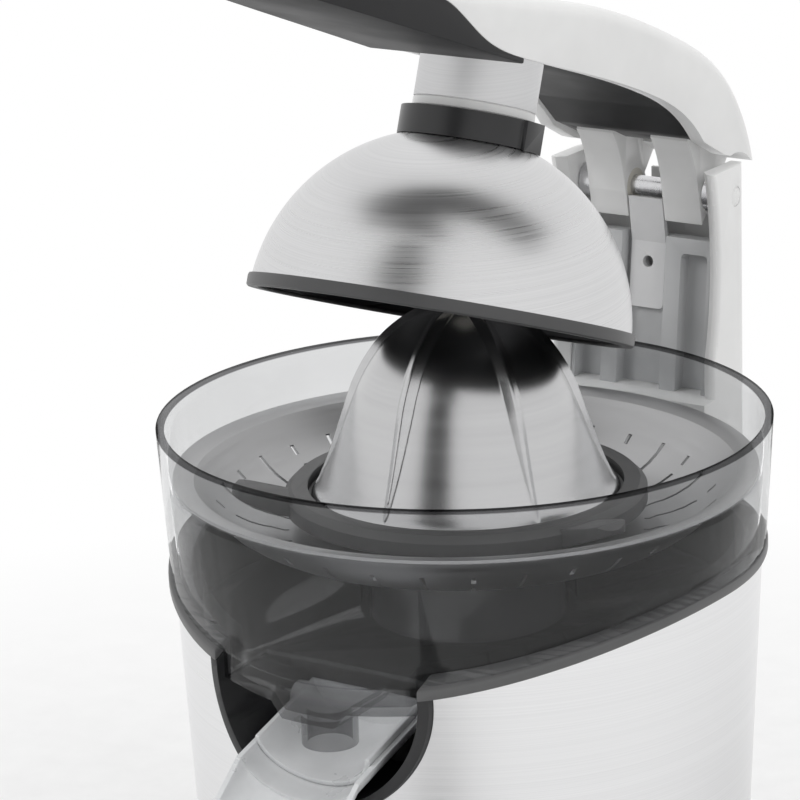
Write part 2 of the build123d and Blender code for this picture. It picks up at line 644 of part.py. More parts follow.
def make_pillar(base_screws):
    """White pillar shell, its fluted panel, the bracket, the gland and the hinge pin."""
    def column(inset):
        side = PILLAR_HALF - inset
        rear = PILLAR_REAR - (PILLAR_BACK_WALL if inset else 0)
        solid = block(-side, side, COLUMN_FRONT, rear, BASE_TOP, HINGE_Z + CHEEK_RISE)
        rounding = PILLAR_INSIDE_ROUND if inset else PILLAR_REAR_ROUND
        edges = solid.edges().filter_by(Axis.Z).group_by(Axis.Y)[-1]
        return fillet(edges, rounding)

    hollow = column(PILLAR_CHEEK) + block(-PILLAR_IN, PILLAR_IN, -WORLD, COLUMN_FRONT + OVERRUN,
                                          BASE_TOP, HINGE_Z + CHEEK_RISE)
    shell = column(0) - hollow
    shell -= block(-WORLD, WORLD, -WORLD, SHELF_FRONT, COLUMN_TOP, WORLD)
    shell += block(-PILLAR_HALF, PILLAR_HALF, SHELF_FRONT, PANEL_BACK_Y, SHELF_TOP - SHELF_THICK, SHELF_TOP)
    shell += block(-PILLAR_HALF, PILLAR_HALF, SHELF_FRONT, SHELF_FRONT + SHELF_THICK,
                   COLUMN_TOP - SHELF_THICK, SHELF_TOP)
    shell -= block(-WORLD, WORLD, -WORLD, PILLAR_FRONT, SHELF_TOP, WORLD)
    bow_y = PILLAR_FRONT + PILLAR_HOLLOW_DEPTH - PILLAR_HOLLOW_R
    bow = cyl_x(PILLAR_HOLLOW_R, -WORLD, WORLD, bow_y, RIM_Z + PILLAR_HOLLOW_RISE)
    shell -= bow & block(-WORLD, WORLD, SHELF_FRONT, WORLD, SHELF_TOP, WORLD)
    behind = block(-WORLD, WORLD, HINGE_Y, WORLD, HINGE_Z, WORLD)
    shell -= behind - cyl_x(CHEEK_TOP_R, -WORLD, WORLD, HINGE_Y, HINGE_Z)
    shell -= block(-PILLAR_IN, PILLAR_IN, HINGE_Y, WORLD, HINGE_Z - BACK_WALL_DROP, WORLD)
    tab_half = KNUCKLE_IN - MOVE_GAP
    tab = block(-tab_half, tab_half, PILLAR_REAR - PILLAR_BACK_WALL, PILLAR_REAR,
                HINGE_Z - BACK_WALL_DROP - FIT_GAP, HINGE_Z + BACK_TAB_RISE)
    shell += tab & cyl_x(CHEEK_TOP_R, -WORLD, WORLD, HINGE_Y, HINGE_Z)
    shell -= cyl_x(PIN_R + FIT_GAP, -WORLD, WORLD, HINGE_Y, HINGE_Z)
    shell -= cyl_y(GLAND_NECK_R + FIT_GAP, HINGE_Y, WORLD, 0, GLAND_Z)
    for fixing in base_screws:
        place = fixing.center()
        boss_top = BASE_TOP + SCREW_LENGTH + SCREW_HEAD
        side = 1 if place.X > 0 else -1
        near = place.X - side * SCREW_HEAD_R
        far = side * (PILLAR_HALF - PILLAR_CHEEK / 2)
        shell += block(min(near, far), max(near, far), place.Y - SCREW_HEAD_R, place.Y + SCREW_HEAD_R,
                       BASE_TOP, boss_top)
        shell -= cyl(SCREW_R + FIT_GAP, 0, BASE_TOP + SCREW_LENGTH + SEAT_GAP, place.X, place.Y)

    def front_edges(x):
        deepest = PILLAR_FRONT + PILLAR_HOLLOW_DEPTH + FIT_GAP
        edges = [edge for edge in shell.edges() if abs(abs(edge.center().X) - x) < FIT_GAP]
        edges = [edge for edge in edges if edge.bounding_box().size.Z > OVERRUN]
        edges = [edge for edge in edges if edge.center().Z > SHELF_TOP]
        return [edge for edge in edges if edge.center().Y < deepest]

    shell = chamfer(front_edges(PILLAR_IN), PILLAR_EDGE_BEVEL)
    keep("pillar_shell", fillet(front_edges(PILLAR_HALF), PILLAR_EDGE_ROUND))

    def leaned(shape):
        """Lean a piece of the panel back about its lower front edge."""
        return shape.rotate(Axis((0, PANEL_FACE_Y, SHELF_TOP), (1, 0, 0)), -PANEL_LEAN)

    panel_half = PILLAR_IN - SEAT_GAP
    top = RIM_Z + PANEL_RISE
    panel = block(-panel_half, panel_half, PANEL_FACE_Y, PANEL_BACK_Y, SHELF_TOP - OVERRUN, top)
    flutes = [(-FLUTE_MIDDLE_HALF, FLUTE_MIDDLE_HALF, top + OVERRUN),
              (FLUTE_SIDE_NEAR, FLUTE_SIDE_FAR, top - FLUTE_TOP_GAP),
              (-FLUTE_SIDE_FAR, -FLUTE_SIDE_NEAR, top - FLUTE_TOP_GAP)]
    flute_y = PANEL_FACE_Y + FLUTE_DEPTH
    for left, right, high in flutes:
        groove = block(left, right, PANEL_FACE_Y - OVERRUN, flute_y, SHELF_TOP - OVERRUN * 2, high)
        panel -= fillet(groove.edges().filter_by(Axis.Y).group_by(Axis.Z)[-1], FLUTE_ROUND)
    hole = cyl_y(BRACKET_HOLE_R, PANEL_FACE_Y, PANEL_BACK_Y + OVERRUN, 0, RIM_Z + BRACKET_HOLE_RISE)
    panel = leaned(panel - hole)
    keep("pillar_panel", panel - block(-WORLD, WORLD, 0, WORLD, 0, SHELF_TOP))

    low = RIM_Z + BRACKET_LOW_RISE
    knee = RIM_Z + BRACKET_KNEE_RISE
    crown = RIM_Z + BRACKET_TOP_RISE
    front = flute_y - BRACKET_THICK
    points = [(0, front, low), (0, flute_y, low), (0, flute_y, knee), (0, flute_y - BRACKET_NOD, crown),
              (0, front - BRACKET_NOD, crown), (0, front, knee)]
    bracket = side_slab(Polyline(points, close=True), BRACKET_HALF)
    bracket = fillet(bracket.edges().filter_by(Axis.Y).group_by(Axis.Z)[0], BRACKET_CORNER)
    keep("hinge_bracket", leaned(bracket - hole))

    gland = cyl_y(GLAND_R, PILLAR_REAR, PILLAR_REAR + GLAND_FLANGE, 0, GLAND_Z)
    gland += cyl_y(GLAND_NECK_R, PILLAR_REAR - PILLAR_BACK_WALL - GLAND_TAIL, PILLAR_REAR, 0, GLAND_Z)
    gland -= cyl_y(GLAND_BORE_R, COLUMN_FRONT, WORLD, 0, GLAND_Z)
    keep("cord_gland", gland)

    pin_half = PILLAR_HALF - PIN_INSET
    keep("hinge_pin", cyl_x(PIN_R, -pin_half, pin_half, HINGE_Y, HINGE_Z))
    spacers = []
    for left in (-PILLAR_IN + SEAT_GAP, KNUCKLE_OUT + SEAT_GAP):
        right = left + PILLAR_IN - KNUCKLE_OUT - SEAT_GAP * 2
        ring = cyl_x(SPACER_R, left, right, HINGE_Y, HINGE_Z)
        spacers.append(ring - cyl_x(PIN_R + FIT_GAP, -WORLD, WORLD, HINGE_Y, HINGE_Z))
    keep("hinge_spacers", Compound(children=spacers))


def make_arm():
    """White arm shell with its knuckles and bushes, and the dark underside insert."""
    top = [arm_point(*share) for share in ARM_TOP_SHARES]
    part = [arm_point(*share) for share in ARM_PART_SHARES]
    tail = [arm_point(*share) for share in ARM_TAIL_SHARES]
    tip = arm_point(1.0, ARM_TIP_SHARE)
    belly_back = arm_point(INSERT_FRONT_SHARE, ARM_BELLY_SHARE)
    belly_front = arm_point(ARM_TOP_SHARES[-1][0], ARM_BELLY_SHARE)
    top_curve = Spline(top)
    tip_curve = ThreePointArc(top[-1], tip, belly_front)
    part_curve = Spline(part)

    plan = [(share * ARM_HALF, HINGE_Y - reach * ARM_LENGTH) for reach, share in ARM_PLAN_SHARES]
    tip_y = HINGE_Y - ARM_LENGTH
    right = Spline([(x, y, 0) for x, y in plan])
    left = Spline([(-x, y, 0) for x, y in plan])
    nose = ThreePointArc(right @ 1, (0, tip_y, 0), left @ 1)
    rear = Line(left @ 0, right @ 0)
    plan_solid = extrude(make_face([right, nose, left, rear]), amount=WORLD)

    # Whole arm outline, rounded, before it is parted into shell and underside
    rear_low = Polyline([belly_back, part[2], part[1], part[0], tail[2], tail[1], tail[0]])
    belly = Line(belly_front, belly_back)
    whole = side_slab([top_curve, tip_curve, belly, rear_low], ARM_HALF * 2) & plan_solid
    crown_edges = [edge for edge in whole.edges() if edge.length > ARM_LENGTH / 2]
    crown_edges = [edge for edge in crown_edges if edge.center().Z > HINGE_Z + ARM_RISE * ARM_TIP_SHARE]
    whole = fillet(crown_edges, ARM_TOP_ROUND)

    # Everything above the parting line
    high_back = (0, tail[0][1] + OVERRUN, HINGE_Z + ARM_RISE * 2)
    high_front = (0, tip_y - OVERRUN, HINGE_Z + ARM_RISE * 2)
    part_end = (0, tip_y - OVERRUN, part[-1][2])
    low_back = (0, tail[0][1] + OVERRUN, part[0][2] - ARM_RISE)
    over = side_slab([part_curve, Line(part[-1], part_end), Line(part_end, high_front),
                      Line(high_front, high_back), Line(high_back, low_back), Line(low_back, part[0])],
                     ARM_HALF * 2)
    shell = whole & over
    belly_front_limit = block(-WORLD, WORLD, -WORLD, belly_back[1], 0, WORLD * 2)
    underside = (whole - over) & belly_front_limit

    # Pocket inside the shell
    pocket_top = [point for point in ARM_TOP_SHARES if POCKET_BACK_SHARE < point[0] < POCKET_FRONT_SHARE]
    roof = [arm_point(*point, lower=ARM_WALL) for point in pocket_top]
    back_roof = arm_point(POCKET_BACK_SHARE, pocket_top[0][1], lower=ARM_WALL * 2)
    front_roof = arm_point(POCKET_FRONT_SHARE, pocket_top[-1][1], lower=ARM_WALL * 3)
    deep = HINGE_Z - ARM_RISE
    points = [(0, back_roof[1], deep), back_roof] + roof + [front_roof, (0, front_roof[1], deep)]
    pocket_half = ARM_HALF * ARM_PLAN_SHARES[2][1] - ARM_WALL
    pocket = side_slab(Polyline(points, close=True), pocket_half)
    shell -= pocket
    shell -= cyl_x(ARM_TAIL_R, -WORLD, WORLD, HINGE_Y, HINGE_Z)

    # Knuckles round the hinge pin
    def round_hinge(shares):
        return [(0, HINGE_Y + y * KNUCKLE_R, HINGE_Z + z * KNUCKLE_R) for y, z in shares]

    tongue = round_hinge(TONGUE_SHARES)
    crest = round_hinge(KNUCKLE_TOP_SHARES)
    barrel = cyl_x(BARREL_R, KNUCKLE_IN, KNUCKLE_OUT, HINGE_Y, HINGE_Z)
    face = make_face([Spline(tongue), Polyline([tongue[0]] + crest + [tongue[-1]])])
    knuckle = extrude(face, amount=KNUCKLE_OUT - KNUCKLE_IN, dir=(1, 0, 0))
    knuckle = Pos(KNUCKLE_IN, 0, 0) * knuckle
    knuckle += barrel
    knuckle -= cyl_x(BUSH_R + FIT_GAP, 0, WORLD, HINGE_Y, HINGE_Z)
    knuckle_left = mirror(knuckle, about=Plane.YZ)
    shell += knuckle
    shell += knuckle_left
    bushes = []
    for side in (KNUCKLE_IN, -KNUCKLE_OUT):
        bush = cyl_x(BUSH_R, side, side + KNUCKLE_OUT - KNUCKLE_IN, HINGE_Y, HINGE_Z)
        bushes.append(raised(bush - cyl_x(PIN_R + RUN_GAP, -WORLD, WORLD, HINGE_Y, HINGE_Z)))

    # Recessed plate behind the grip
    shares = INSERT_TAIL_SHARES + ARM_PART_SHARES[:4] + [(INSERT_REACH_SHARE, ARM_PART_SHARES[3][1])]
    plate_low = [arm_point(*share, lower=-INSERT_RECESS) for share in shares]
    plate_high = [arm_point(*share, lower=-INSERT_RECESS - INSERT_THICK) for share in shares]
    plate = side_slab(Polyline(plate_low + plate_high[::-1], close=True), pocket_half - SEAT_GAP)
    plate -= knuckle + knuckle_left
    underside += plate - belly_front_limit
    underside += plate & belly_front_limit
    keep("arm_shell", raised(shell - underside))
    keep("arm_underside", raised(underside))
    keep("hinge_bushes", Compound(children=bushes))
    return underside


def make_dome(underside):
    """Press dome with its ring and collar, and the stem, sleeve and spacer that carry it."""
    centre = DOME_LOW_Z - DOME_SINK
    ball = Pos(0, 0, centre) * Sphere(DOME_R)
    hollow = Pos(0, 0, centre) * Sphere(DOME_R - DOME_WALL)
    dome = ball - hollow
    dome &= cyl(WORLD / 2, DOME_LOW_Z + DOME_LIFT, HINGE_Z + ARM_RISE)
    dome -= cyl(DOME_HOLE_R, RIM_Z, HINGE_Z + ARM_RISE)
    keep("dome", raised(dome))

    ring_points = [(RING_IN_R, 0), (RING_R, 0), (RING_R, RING_HEIGHT), (RING_R - RING_WALL, RING_HEIGHT),
                   (RING_R - RING_WALL, RING_FLOOR), (RING_IN_R, RING_FLOOR)]
    keep("dome_ring", raised(spun([(r, DOME_LOW_Z + z) for r, z in ring_points])))

    seat = Pos(0, 0, centre) * Sphere(DOME_R + SEAT_GAP)
    collar_top = DOME_LOW_Z + COLLAR_TOP
    collar = cyl(COLLAR_R, DOME_LOW_Z + COLLAR_LUG_LOW, collar_top)
    for lug_angle in (0, 180):
        lug = block(0, COLLAR_R + COLLAR_LUG_LENGTH, -COLLAR_LUG_HALF, COLLAR_LUG_HALF,
                    DOME_LOW_Z + COLLAR_LUG_LOW, collar_top)
        collar += Rot(0, 0, COLLAR_LUG_ANGLE + lug_angle) * lug
    collar -= seat
    collar += cyl(DOME_HOLE_R - SEAT_GAP, DOME_LOW_Z + COLLAR_NECK_LOW, collar_top)
    collar -= cyl(STEM_R + RUN_GAP, DOME_LOW_Z, WORLD)
    keep("dome_collar", raised(collar))

    spacer_low = collar_top + SEAT_GAP
    spacer_top = spacer_low + SPACER_RING_HEIGHT
    keep("spacer_ring", raised(tube(SLEEVE_RING_R, SLEEVE_RING_IN_R, spacer_low, spacer_top)))
    head_top = DOME_LOW_Z + COLLAR_NECK_LOW - SEAT_GAP
    stem = cyl(STEM_R, head_top - STEM_HEAD, HINGE_Z + ARM_RISE)
    stem += cyl(STEM_HEAD_R, head_top - STEM_HEAD, head_top)
    stem += tube(SLEEVE_RING_IN_R - SEAT_GAP, STEM_R - SEAT_GAP, spacer_low, spacer_low + SEAT_GAP * 2)
    sleeve = tube(SLEEVE_RING_R, SLEEVE_RING_IN_R, spacer_top, HINGE_Z + ARM_RISE)
    stem = (stem - underside).solids().sort_by(Axis.Z)[0]
    sleeve = (sleeve - underside).solids().sort_by(Axis.Z)[0]
    keep("dome_stem", raised(stem))
    keep("dome_sleeve", raised(sleeve))


def cone_outline(grow, rib=False):
    """Spline of the cone's side, moved out by an amount along the radius and up at the tip."""
    points = []
    for r_share, z_share in CONE_SHARES:
        fade = 1.0
        if rib:
            climb = (z_share - RIB_LOW_SHARE) / (1.0 - RIB_LOW_SHARE)
            fade = min(1.0, max(0.0, climb / RIB_FULL_SHARE))
        radius = CONE_BASE_R * r_share
        spread = grow * fade * (1.0 if radius > 0 else 0.0)
        tip = grow * fade * z_share * RIB_TIP_SHARE
        points.append((radius + spread, 0, CONE_LOW_Z + CONE_HEIGHT * z_share + tip))
    return points


def make_cone():
    """Polished cone with ribs, its core, and the scraper ring with wings."""
    def solid(grow, rib=False):
        points = cone_outline(grow, rib)
        side = Spline(points, tangents=[(-1, 0, 1), (-1, 0, 0)])
        low = CONE_LOW_Z if grow >= 0 else CONE_LOW_Z - OVERRUN
        foot = (points[0][0], 0, low)
        bottom = (0, 0, low)
        return revolve(make_face([Line(bottom, foot), Line(foot, points[0]), side,
                                  Line(points[-1], bottom)]), Axis.Z)

    cone = solid(0)
    ribbed = solid(RIB_HEIGHT, rib=True)
    blade = block(0, CONE_BASE_R, -RIB_HALF, RIB_HALF, CONE_LOW_Z + CONE_HEIGHT * RIB_LOW_SHARE, WORLD)
    for wedge in around(blade, RIB_COUNT, RIB_START_ANGLE):
        cone += ribbed & wedge
    cone -= solid(-CONE_WALL)
    keep("cone", cone)

    disc_top = CONE_LOW_Z - FIT_GAP
    disc_low = disc_top - SCRAPER_FLOOR
    core = frustum(CORE_LOW_R, CORE_TOP_R, disc_top, disc_top + CORE_HEIGHT)
    core -= cyl(SHAFT_R + FIT_GAP, BASE_TOP, RIM_Z + SHAFT_TOP_RISE + SEAT_GAP)
    keep("cone_core", core)

    rim_in = SCRAPER_R - SCRAPER_RIM_WIDTH
    scraper = tube(SCRAPER_R, SCRAPER_IN_R, disc_low, disc_top)
    scraper += tube(SCRAPER_R, rim_in, disc_low, disc_top + SCRAPER_RIM)
    outer_top = scraper.edges().filter_by(GeomType.CIRCLE).group_by(Axis.Z)[-1].sort_by(SortBy.RADIUS)[-1]
    scraper = chamfer(outer_top, SCRAPER_RIM * 2 / 3)
    root_r = SCRAPER_R - SCRAPER_RIM_WIDTH / 2
    start_r = STRAINER_LOW_R - MOVE_GAP
    tip_low = RIM_Z - WING_TIP_DROP
    points = [(root_r, 0, disc_low), (start_r, 0, RIM_Z - WING_ROOT_DROP), (WING_END_R, 0, tip_low),
              (WING_END_R, 0, tip_low + WING_THICK / 2), (WING_END_R - WING_THICK, 0, tip_low + WING_THICK),
              (root_r, 0, disc_top + SCRAPER_RIM / 2)]
    profile = make_face(Polyline(points, close=True))
    wing = extrude(profile, amount=WING_HALF, dir=(0, 1, 0), both=True)
    round_end = cyl(WING_HALF, BASE_TOP, RIM_Z, WING_END_R - WING_HALF)
    round_end += block(0, WING_END_R - WING_HALF, -WING_HALF, WING_HALF, BASE_TOP, RIM_Z)
    wing &= round_end
    for copy in around(wing, WING_COUNT, WING_START_ANGLE):
        scraper += copy
    keep("scraper_ring", scraper)


def make_strainer():
    """Steel strainer dish with long and short radial slots."""
    belly_r = STRAINER_LOW_R + (STRAINER_STEP_R - STRAINER_LOW_R) * STRAINER_BELLY_SHARE
    belly_drop = STRAINER_STEP_DROP + (STRAINER_LOW_DROP - STRAINER_STEP_DROP) * STRAINER_BELLY_DROP_SHARE

    def skin(sink):
        """Rim, rounded side and floor of the dish, sunk by an amount."""
        def at(radius, drop):
            return (radius, 0, RIM_Z - drop - sink)

        rim = Polyline([at(STRAINER_R, LEDGE_DROP), at(STRAINER_LIP_R, LEDGE_DROP),
                        at(STRAINER_STEP_R, STRAINER_STEP_DROP)])
        side = ThreePointArc(rim @ 1, at(belly_r, belly_drop), at(STRAINER_LOW_R, STRAINER_LOW_DROP))
        floor = Polyline([side @ 1, at(STRAINER_FLOOR_R, STRAINER_FLOOR_DROP),
                          at(STRAINER_HOLE_R, STRAINER_FLOOR_DROP)])
        return [rim, side, floor]

    top_skin = skin(0)
    low_skin = skin(STRAINER_WALL)
    ends = [Line(top_skin[0] @ 0, low_skin[0] @ 0), Line(top_skin[2] @ 1, low_skin[2] @ 1)]
    dish = revolve(make_face(top_skin + low_skin + ends), Axis.Z)

    def slot(near, far):
        bar = block(near, far, -SLOT_HALF, SLOT_HALF, RIM_Z - BOWL_DEPTH, RIM_Z)
        ends = [cyl(SLOT_HALF, RIM_Z - BOWL_DEPTH, RIM_Z, radius) for radius in (near, far)]
        return bar + ends[0] + ends[1]

    cuts = around(slot(SLOT_NEAR_R, SLOT_FAR_R), SLOT_COUNT)
    between = 180.0 / SLOT_COUNT
    cuts += around(slot(SLOT_NEAR_R, SPLIT_SLOT_FAR_R), SLOT_COUNT, between)
    cuts += around(slot(SHORT_SLOT_NEAR_R, SHORT_SLOT_FAR_R), SLOT_COUNT, between)
    keep("strainer", dish - cuts)


def channel(half, depth, front, back, wall):
    """Half-round open channel along -Y with its top at zero, and its inside."""
    def trough(half_width, deep, low_y, high_y):
        face = Plane((0, low_y, 0), x_dir=(1, 0, 0), z_dir=(0, -1, 0)) * Ellipse(half_width, deep)
        solid = extrude(face, amount=high_y - low_y, dir=(0, 1, 0))
        return solid - block(-WORLD, WORLD, -WORLD, WORLD, 0, WORLD)

    outer = trough(half, depth, -front, back)
    inner = trough(half - wall, depth - wall, -front - OVERRUN, back - wall)
    return outer, inner


def make_spout():
    """Pouring spout: a tray nested in a longer nose, on a pin across the niche."""
    pivot = Pos(0, SPOUT_PIVOT_Y, RIM_Z - SPOUT_PIVOT_DROP)
    slope = Rot(SPOUT_SLOPE, 0, 0)
    lifted = Pos(0, 0, SPOUT_RISE)
    tray, tray_in = channel(TRAY_HALF, TRAY_DEPTH, TRAY_FRONT, SPOUT_BACK, SPOUT_WALL)
    keep("spout_tray", pivot * slope * lifted * (tray - tray_in))
    nose_half = TRAY_HALF + SEAT_GAP + SPOUT_WALL
    nose_depth = TRAY_DEPTH + SEAT_GAP + SPOUT_WALL
    rear, rear_in = channel(nose_half, nose_depth, NOSE_FRONT, SPOUT_BACK + SEAT_GAP + SPOUT_WALL, SPOUT_WALL)
    rear = rear - block(-WORLD, WORLD, -WORLD, WORLD, -NOSE_DROP, WORLD)
    front, front_in = channel(nose_half, nose_depth, NOSE_LENGTH, NOSE_TUCK, SPOUT_WALL)
    front = front - block(-WORLD, WORLD, -WORLD, WORLD, -NOSE_DROP, WORLD)
    bend = Pos(0, -NOSE_FRONT, 0) * Rot(SPOUT_NOSE_SLOPE - SPOUT_SLOPE, 0, 0)
    before_bend = block(-WORLD, WORLD, -NOSE_FRONT, WORLD, -WORLD, WORLD)
    nose = rear + ((bend * front) - before_bend)
    nose -= rear_in
    nose -= (bend * front_in) - before_bend
    nose = lifted * nose
    lug_in = TRAY_HALF + SEAT_GAP
    lug = cyl_x(SPOUT_LUG_R, lug_in, lug_in + SPOUT_LUG_WIDTH, 0, 0)
    nose += lug
    nose += mirror(lug, about=Plane.YZ)
    nose -= cyl_x(SPOUT_PIN_R + RUN_GAP, -WORLD, WORLD, 0, 0)
    keep("spout_nose", pivot * slope * nose)
    pin_z = RIM_Z - SPOUT_PIVOT_DROP
    pins = []
    for left in (-SPOUT_PIN_HALF, lug_in + SEAT_GAP):
        right = left + SPOUT_PIN_HALF - lug_in - SEAT_GAP
        pins.append(cyl_x(SPOUT_PIN_R, left, right, SPOUT_PIVOT_Y, pin_z))
    keep("spout_pins", Compound(children=pins))


def make_drive():
    """Motor, gear train, shaft, push-to-start cup, spring and switch."""
    fine_centre = FINE_MODULE * (MOTOR_TEETH + IDLER_TEETH) / 2 + CENTRE_SPARE
    coarse_centre = COARSE_MODULE * (IDLER_PINION_TEETH + OUTPUT_TEETH) / 2 + CENTRE_SPARE
    idler_x = coarse_centre * cos(radians(IDLER_ANGLE))
    idler_y = coarse_centre * sin(radians(IDLER_ANGLE))
    motor_x = idler_x + fine_centre * cos(radians(MOTOR_ANGLE))
    motor_y = idler_y + fine_centre * sin(radians(MOTOR_ANGLE))

    # A tooth of the large gear points along each line of centres into a gap of the small one
    output = gear(OUTPUT_TEETH, COARSE_MODULE, COARSE_Z, COARSE_FACE, 0, 0, IDLER_ANGLE)
    output -= cyl(SHAFT_R + FIT_GAP, COARSE_Z - OVERRUN, COARSE_Z + COARSE_FACE + OVERRUN)
    keep("output_gear", output)
    small_turn = IDLER_ANGLE + 180.0 + 180.0 / IDLER_PINION_TEETH
    idler = gear(IDLER_TEETH, FINE_MODULE, FINE_Z, FINE_FACE, idler_x, idler_y, MOTOR_ANGLE)
    idler += gear(IDLER_PINION_TEETH, COARSE_MODULE, FINE_Z + FINE_FACE, PINION_TOP - FINE_Z - FINE_FACE,
                  idler_x, idler_y, small_turn)
    idler -= cyl(AXLE_R + RUN_GAP, PLATE_Z, WORLD, idler_x, idler_y)
    keep("idler_gear", idler)
    axle_top = COVER_Z + COVER_THICK
    keep("idler_axle", cyl(AXLE_R, PLATE_Z, axle_top, idler_x, idler_y))
    pinion_turn = MOTOR_ANGLE + 180.0 + 180.0 / MOTOR_TEETH
    pinion = gear(MOTOR_TEETH, FINE_MODULE, FINE_Z, FINE_FACE, motor_x, motor_y, pinion_turn)
    pinion += cyl(MOTOR_SHAFT_R, PLATE_Z - MOTOR_SHAFT_TAIL, FINE_Z + FINE_FACE, motor_x, motor_y)
    keep("motor_pinion", pinion)
    motor = cyl(MOTOR_R, PLATE_Z - MOTOR_LENGTH, PLATE_Z, motor_x, motor_y)
    motor -= cyl(MOTOR_SHAFT_R + RUN_GAP, PLATE_Z - MOTOR_SHAFT_TAIL - SEAT_GAP, WORLD, motor_x, motor_y)
    rotor_top = PLATE_Z - MOTOR_CAN_WALL * 2 - MOVE_GAP
    rotor_low = rotor_top - ROTOR_LENGTH
    motor -= cyl(ROTOR_R + MOVE_GAP, rotor_low - MOVE_GAP, rotor_top + MOVE_GAP, motor_x, motor_y)
    rotor = cyl(ROTOR_R, rotor_low, rotor_top, motor_x, motor_y)
    keep("motor_rotor", rotor - cyl(MOTOR_SHAFT_R + FIT_GAP, 0, PLATE_Z, motor_x, motor_y))
    motor_screws = []
    for side in (-1, 1):
        x = motor_x + side * MOTOR_SCREW_SPREAD * cos(radians(MOTOR_ANGLE))
        y = motor_y + side * MOTOR_SCREW_SPREAD * sin(radians(MOTOR_ANGLE))
        low = PLATE_Z + PLATE_THICK - SCREW_LENGTH / 2
        motor_screws.append(cyl(SCREW_R, low, PLATE_Z + PLATE_THICK - FIT_GAP, x, y))
        motor -= cyl(SCREW_R + FIT_GAP, low - SEAT_GAP, WORLD, x, y)
    keep("motor", motor)
    keep("motor_screws", Compound(children=motor_screws))

    plate_low_x = PLATE_CENTRE_X - PLATE_HALF_X
    plate_high_x = PLATE_CENTRE_X + PLATE_HALF_X
    plate = block(plate_low_x, plate_high_x, -PLATE_HALF_Y, PLATE_HALF_Y, PLATE_Z, PLATE_Z + PLATE_THICK)
    plate = fillet(plate.edges().filter_by(Axis.Z), POST_R)
    cover = block(plate_low_x, plate_high_x, -PLATE_HALF_Y, PLATE_HALF_Y, COVER_Z, COVER_Z + COVER_THICK)
    cover = fillet(cover.edges().filter_by(Axis.Z), POST_R)
    for sx in (-1, 1):
        for sy in (-1, 1):
            x = PLATE_CENTRE_X + sx * (PLATE_HALF_X - POST_R)
            y = sy * (PLATE_HALF_Y - POST_R)
            plate -= cyl(SCREW_R + FIT_GAP, 0, WORLD, x, y)
            cover += cyl(POST_R, PLATE_Z + PLATE_THICK, COVER_Z + COVER_THICK / 2, x, y)
            head_room = PLATE_Z + PLATE_THICK + SCREW_HEAD + SEAT_GAP
            cover -= cyl(SCREW_HEAD_R + SEAT_GAP, PLATE_Z, head_room, x, y)
    guide_r = CUP_R + GUIDE_WALL
    plate += cyl(guide_r, SPRING_TOP + CUP_TAB_THICK + PRESS_TRAVEL, PLATE_Z + PLATE_THICK / 2)
    plate -= cyl(CUP_R + RUN_GAP, 0, CUP_TOP + SEAT_GAP)
    plate -= cyl(SHAFT_R + MOVE_GAP, 0, WORLD)
    plate -= cyl(FINE_MODULE * MOTOR_TEETH / 2 + LEVEL_GAP, 0, WORLD, motor_x, motor_y)
    plate -= cyl(AXLE_R + FIT_GAP, 0, WORLD, idler_x, idler_y)
    for fixing in motor_screws:
        plate -= cyl(SCREW_R + FIT_GAP, 0, WORLD, fixing.center().X, fixing.center().Y)
    keep("gearbox_plate", plate)
    cover -= cyl(BUSHING_R + FIT_GAP, 0, WORLD)
    cover -= cyl(AXLE_R + FIT_GAP, 0, WORLD, idler_x, idler_y)
    keep("gearbox_cover", cover)

    shaft_top = RIM_Z + SHAFT_TOP_RISE
    keep("drive_shaft", cyl(SHAFT_R, CUP_TOP, shaft_top))
    hub_top = RIM_Z - HUB_DROP
    bushings = []
    for low, high in ((COVER_Z, COVER_Z + BUSHING_LENGTH), (hub_top - BUSHING_LENGTH, hub_top)):
        bushings.append(tube(BUSHING_R, SHAFT_R + RUN_GAP, low, high))
    keep("shaft_bushings", Compound(children=bushings))
    keep("shaft_seal", tube(TOWER_HOLE_R - SEAT_GAP, SHAFT_R + MOVE_GAP, hub_top, hub_top + SEAL_HEIGHT))

    cup = cyl(CUP_R, SPRING_TOP, CUP_TOP - FIT_GAP)
    cup += block(-CUP_TAB, 0, -CUP_TAB_HALF, CUP_TAB_HALF, SPRING_TOP, SPRING_TOP + CUP_TAB_THICK)
    keep("thrust_cup", cup)
    keep("return_spring", tube(SPRING_R, SPRING_R - SPRING_WALL, SPRING_LOW, SPRING_TOP))
    switch_top = SPRING_TOP - BUTTON_RISE
    half = SWITCH_WIDTH / 2
    switch = block(SWITCH_X - SWITCH_LENGTH / 2, SWITCH_X + SWITCH_LENGTH / 2, -half, half,
                   switch_top - SWITCH_HEIGHT, switch_top)
    switch -= cyl(BUTTON_R + RUN_GAP, switch_top - BUTTON_RISE * 2, switch_top + OVERRUN, SWITCH_X)
    keep("start_switch", switch)
    keep("switch_button", cyl(BUTTON_R, switch_top - BUTTON_RISE, SPRING_TOP - FIT_GAP, SWITCH_X))


def main():
    """Build every piece and write one file for each."""
    make_bowl()
    make_deck()
    make_sleeve()
    make_niche()
    make_pillar(make_base())
    make_dome(make_arm())
    make_cone()
    make_strainer()
    make_spout()
    make_drive()
    os.makedirs("parts", exist_ok=True)
    for name, shape in PARTS.items():
        export_step(shape, "parts/" + name + ".step")


main()
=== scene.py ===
import json
import math

import bmesh
import bpy
from mathutils import Matrix, Vector


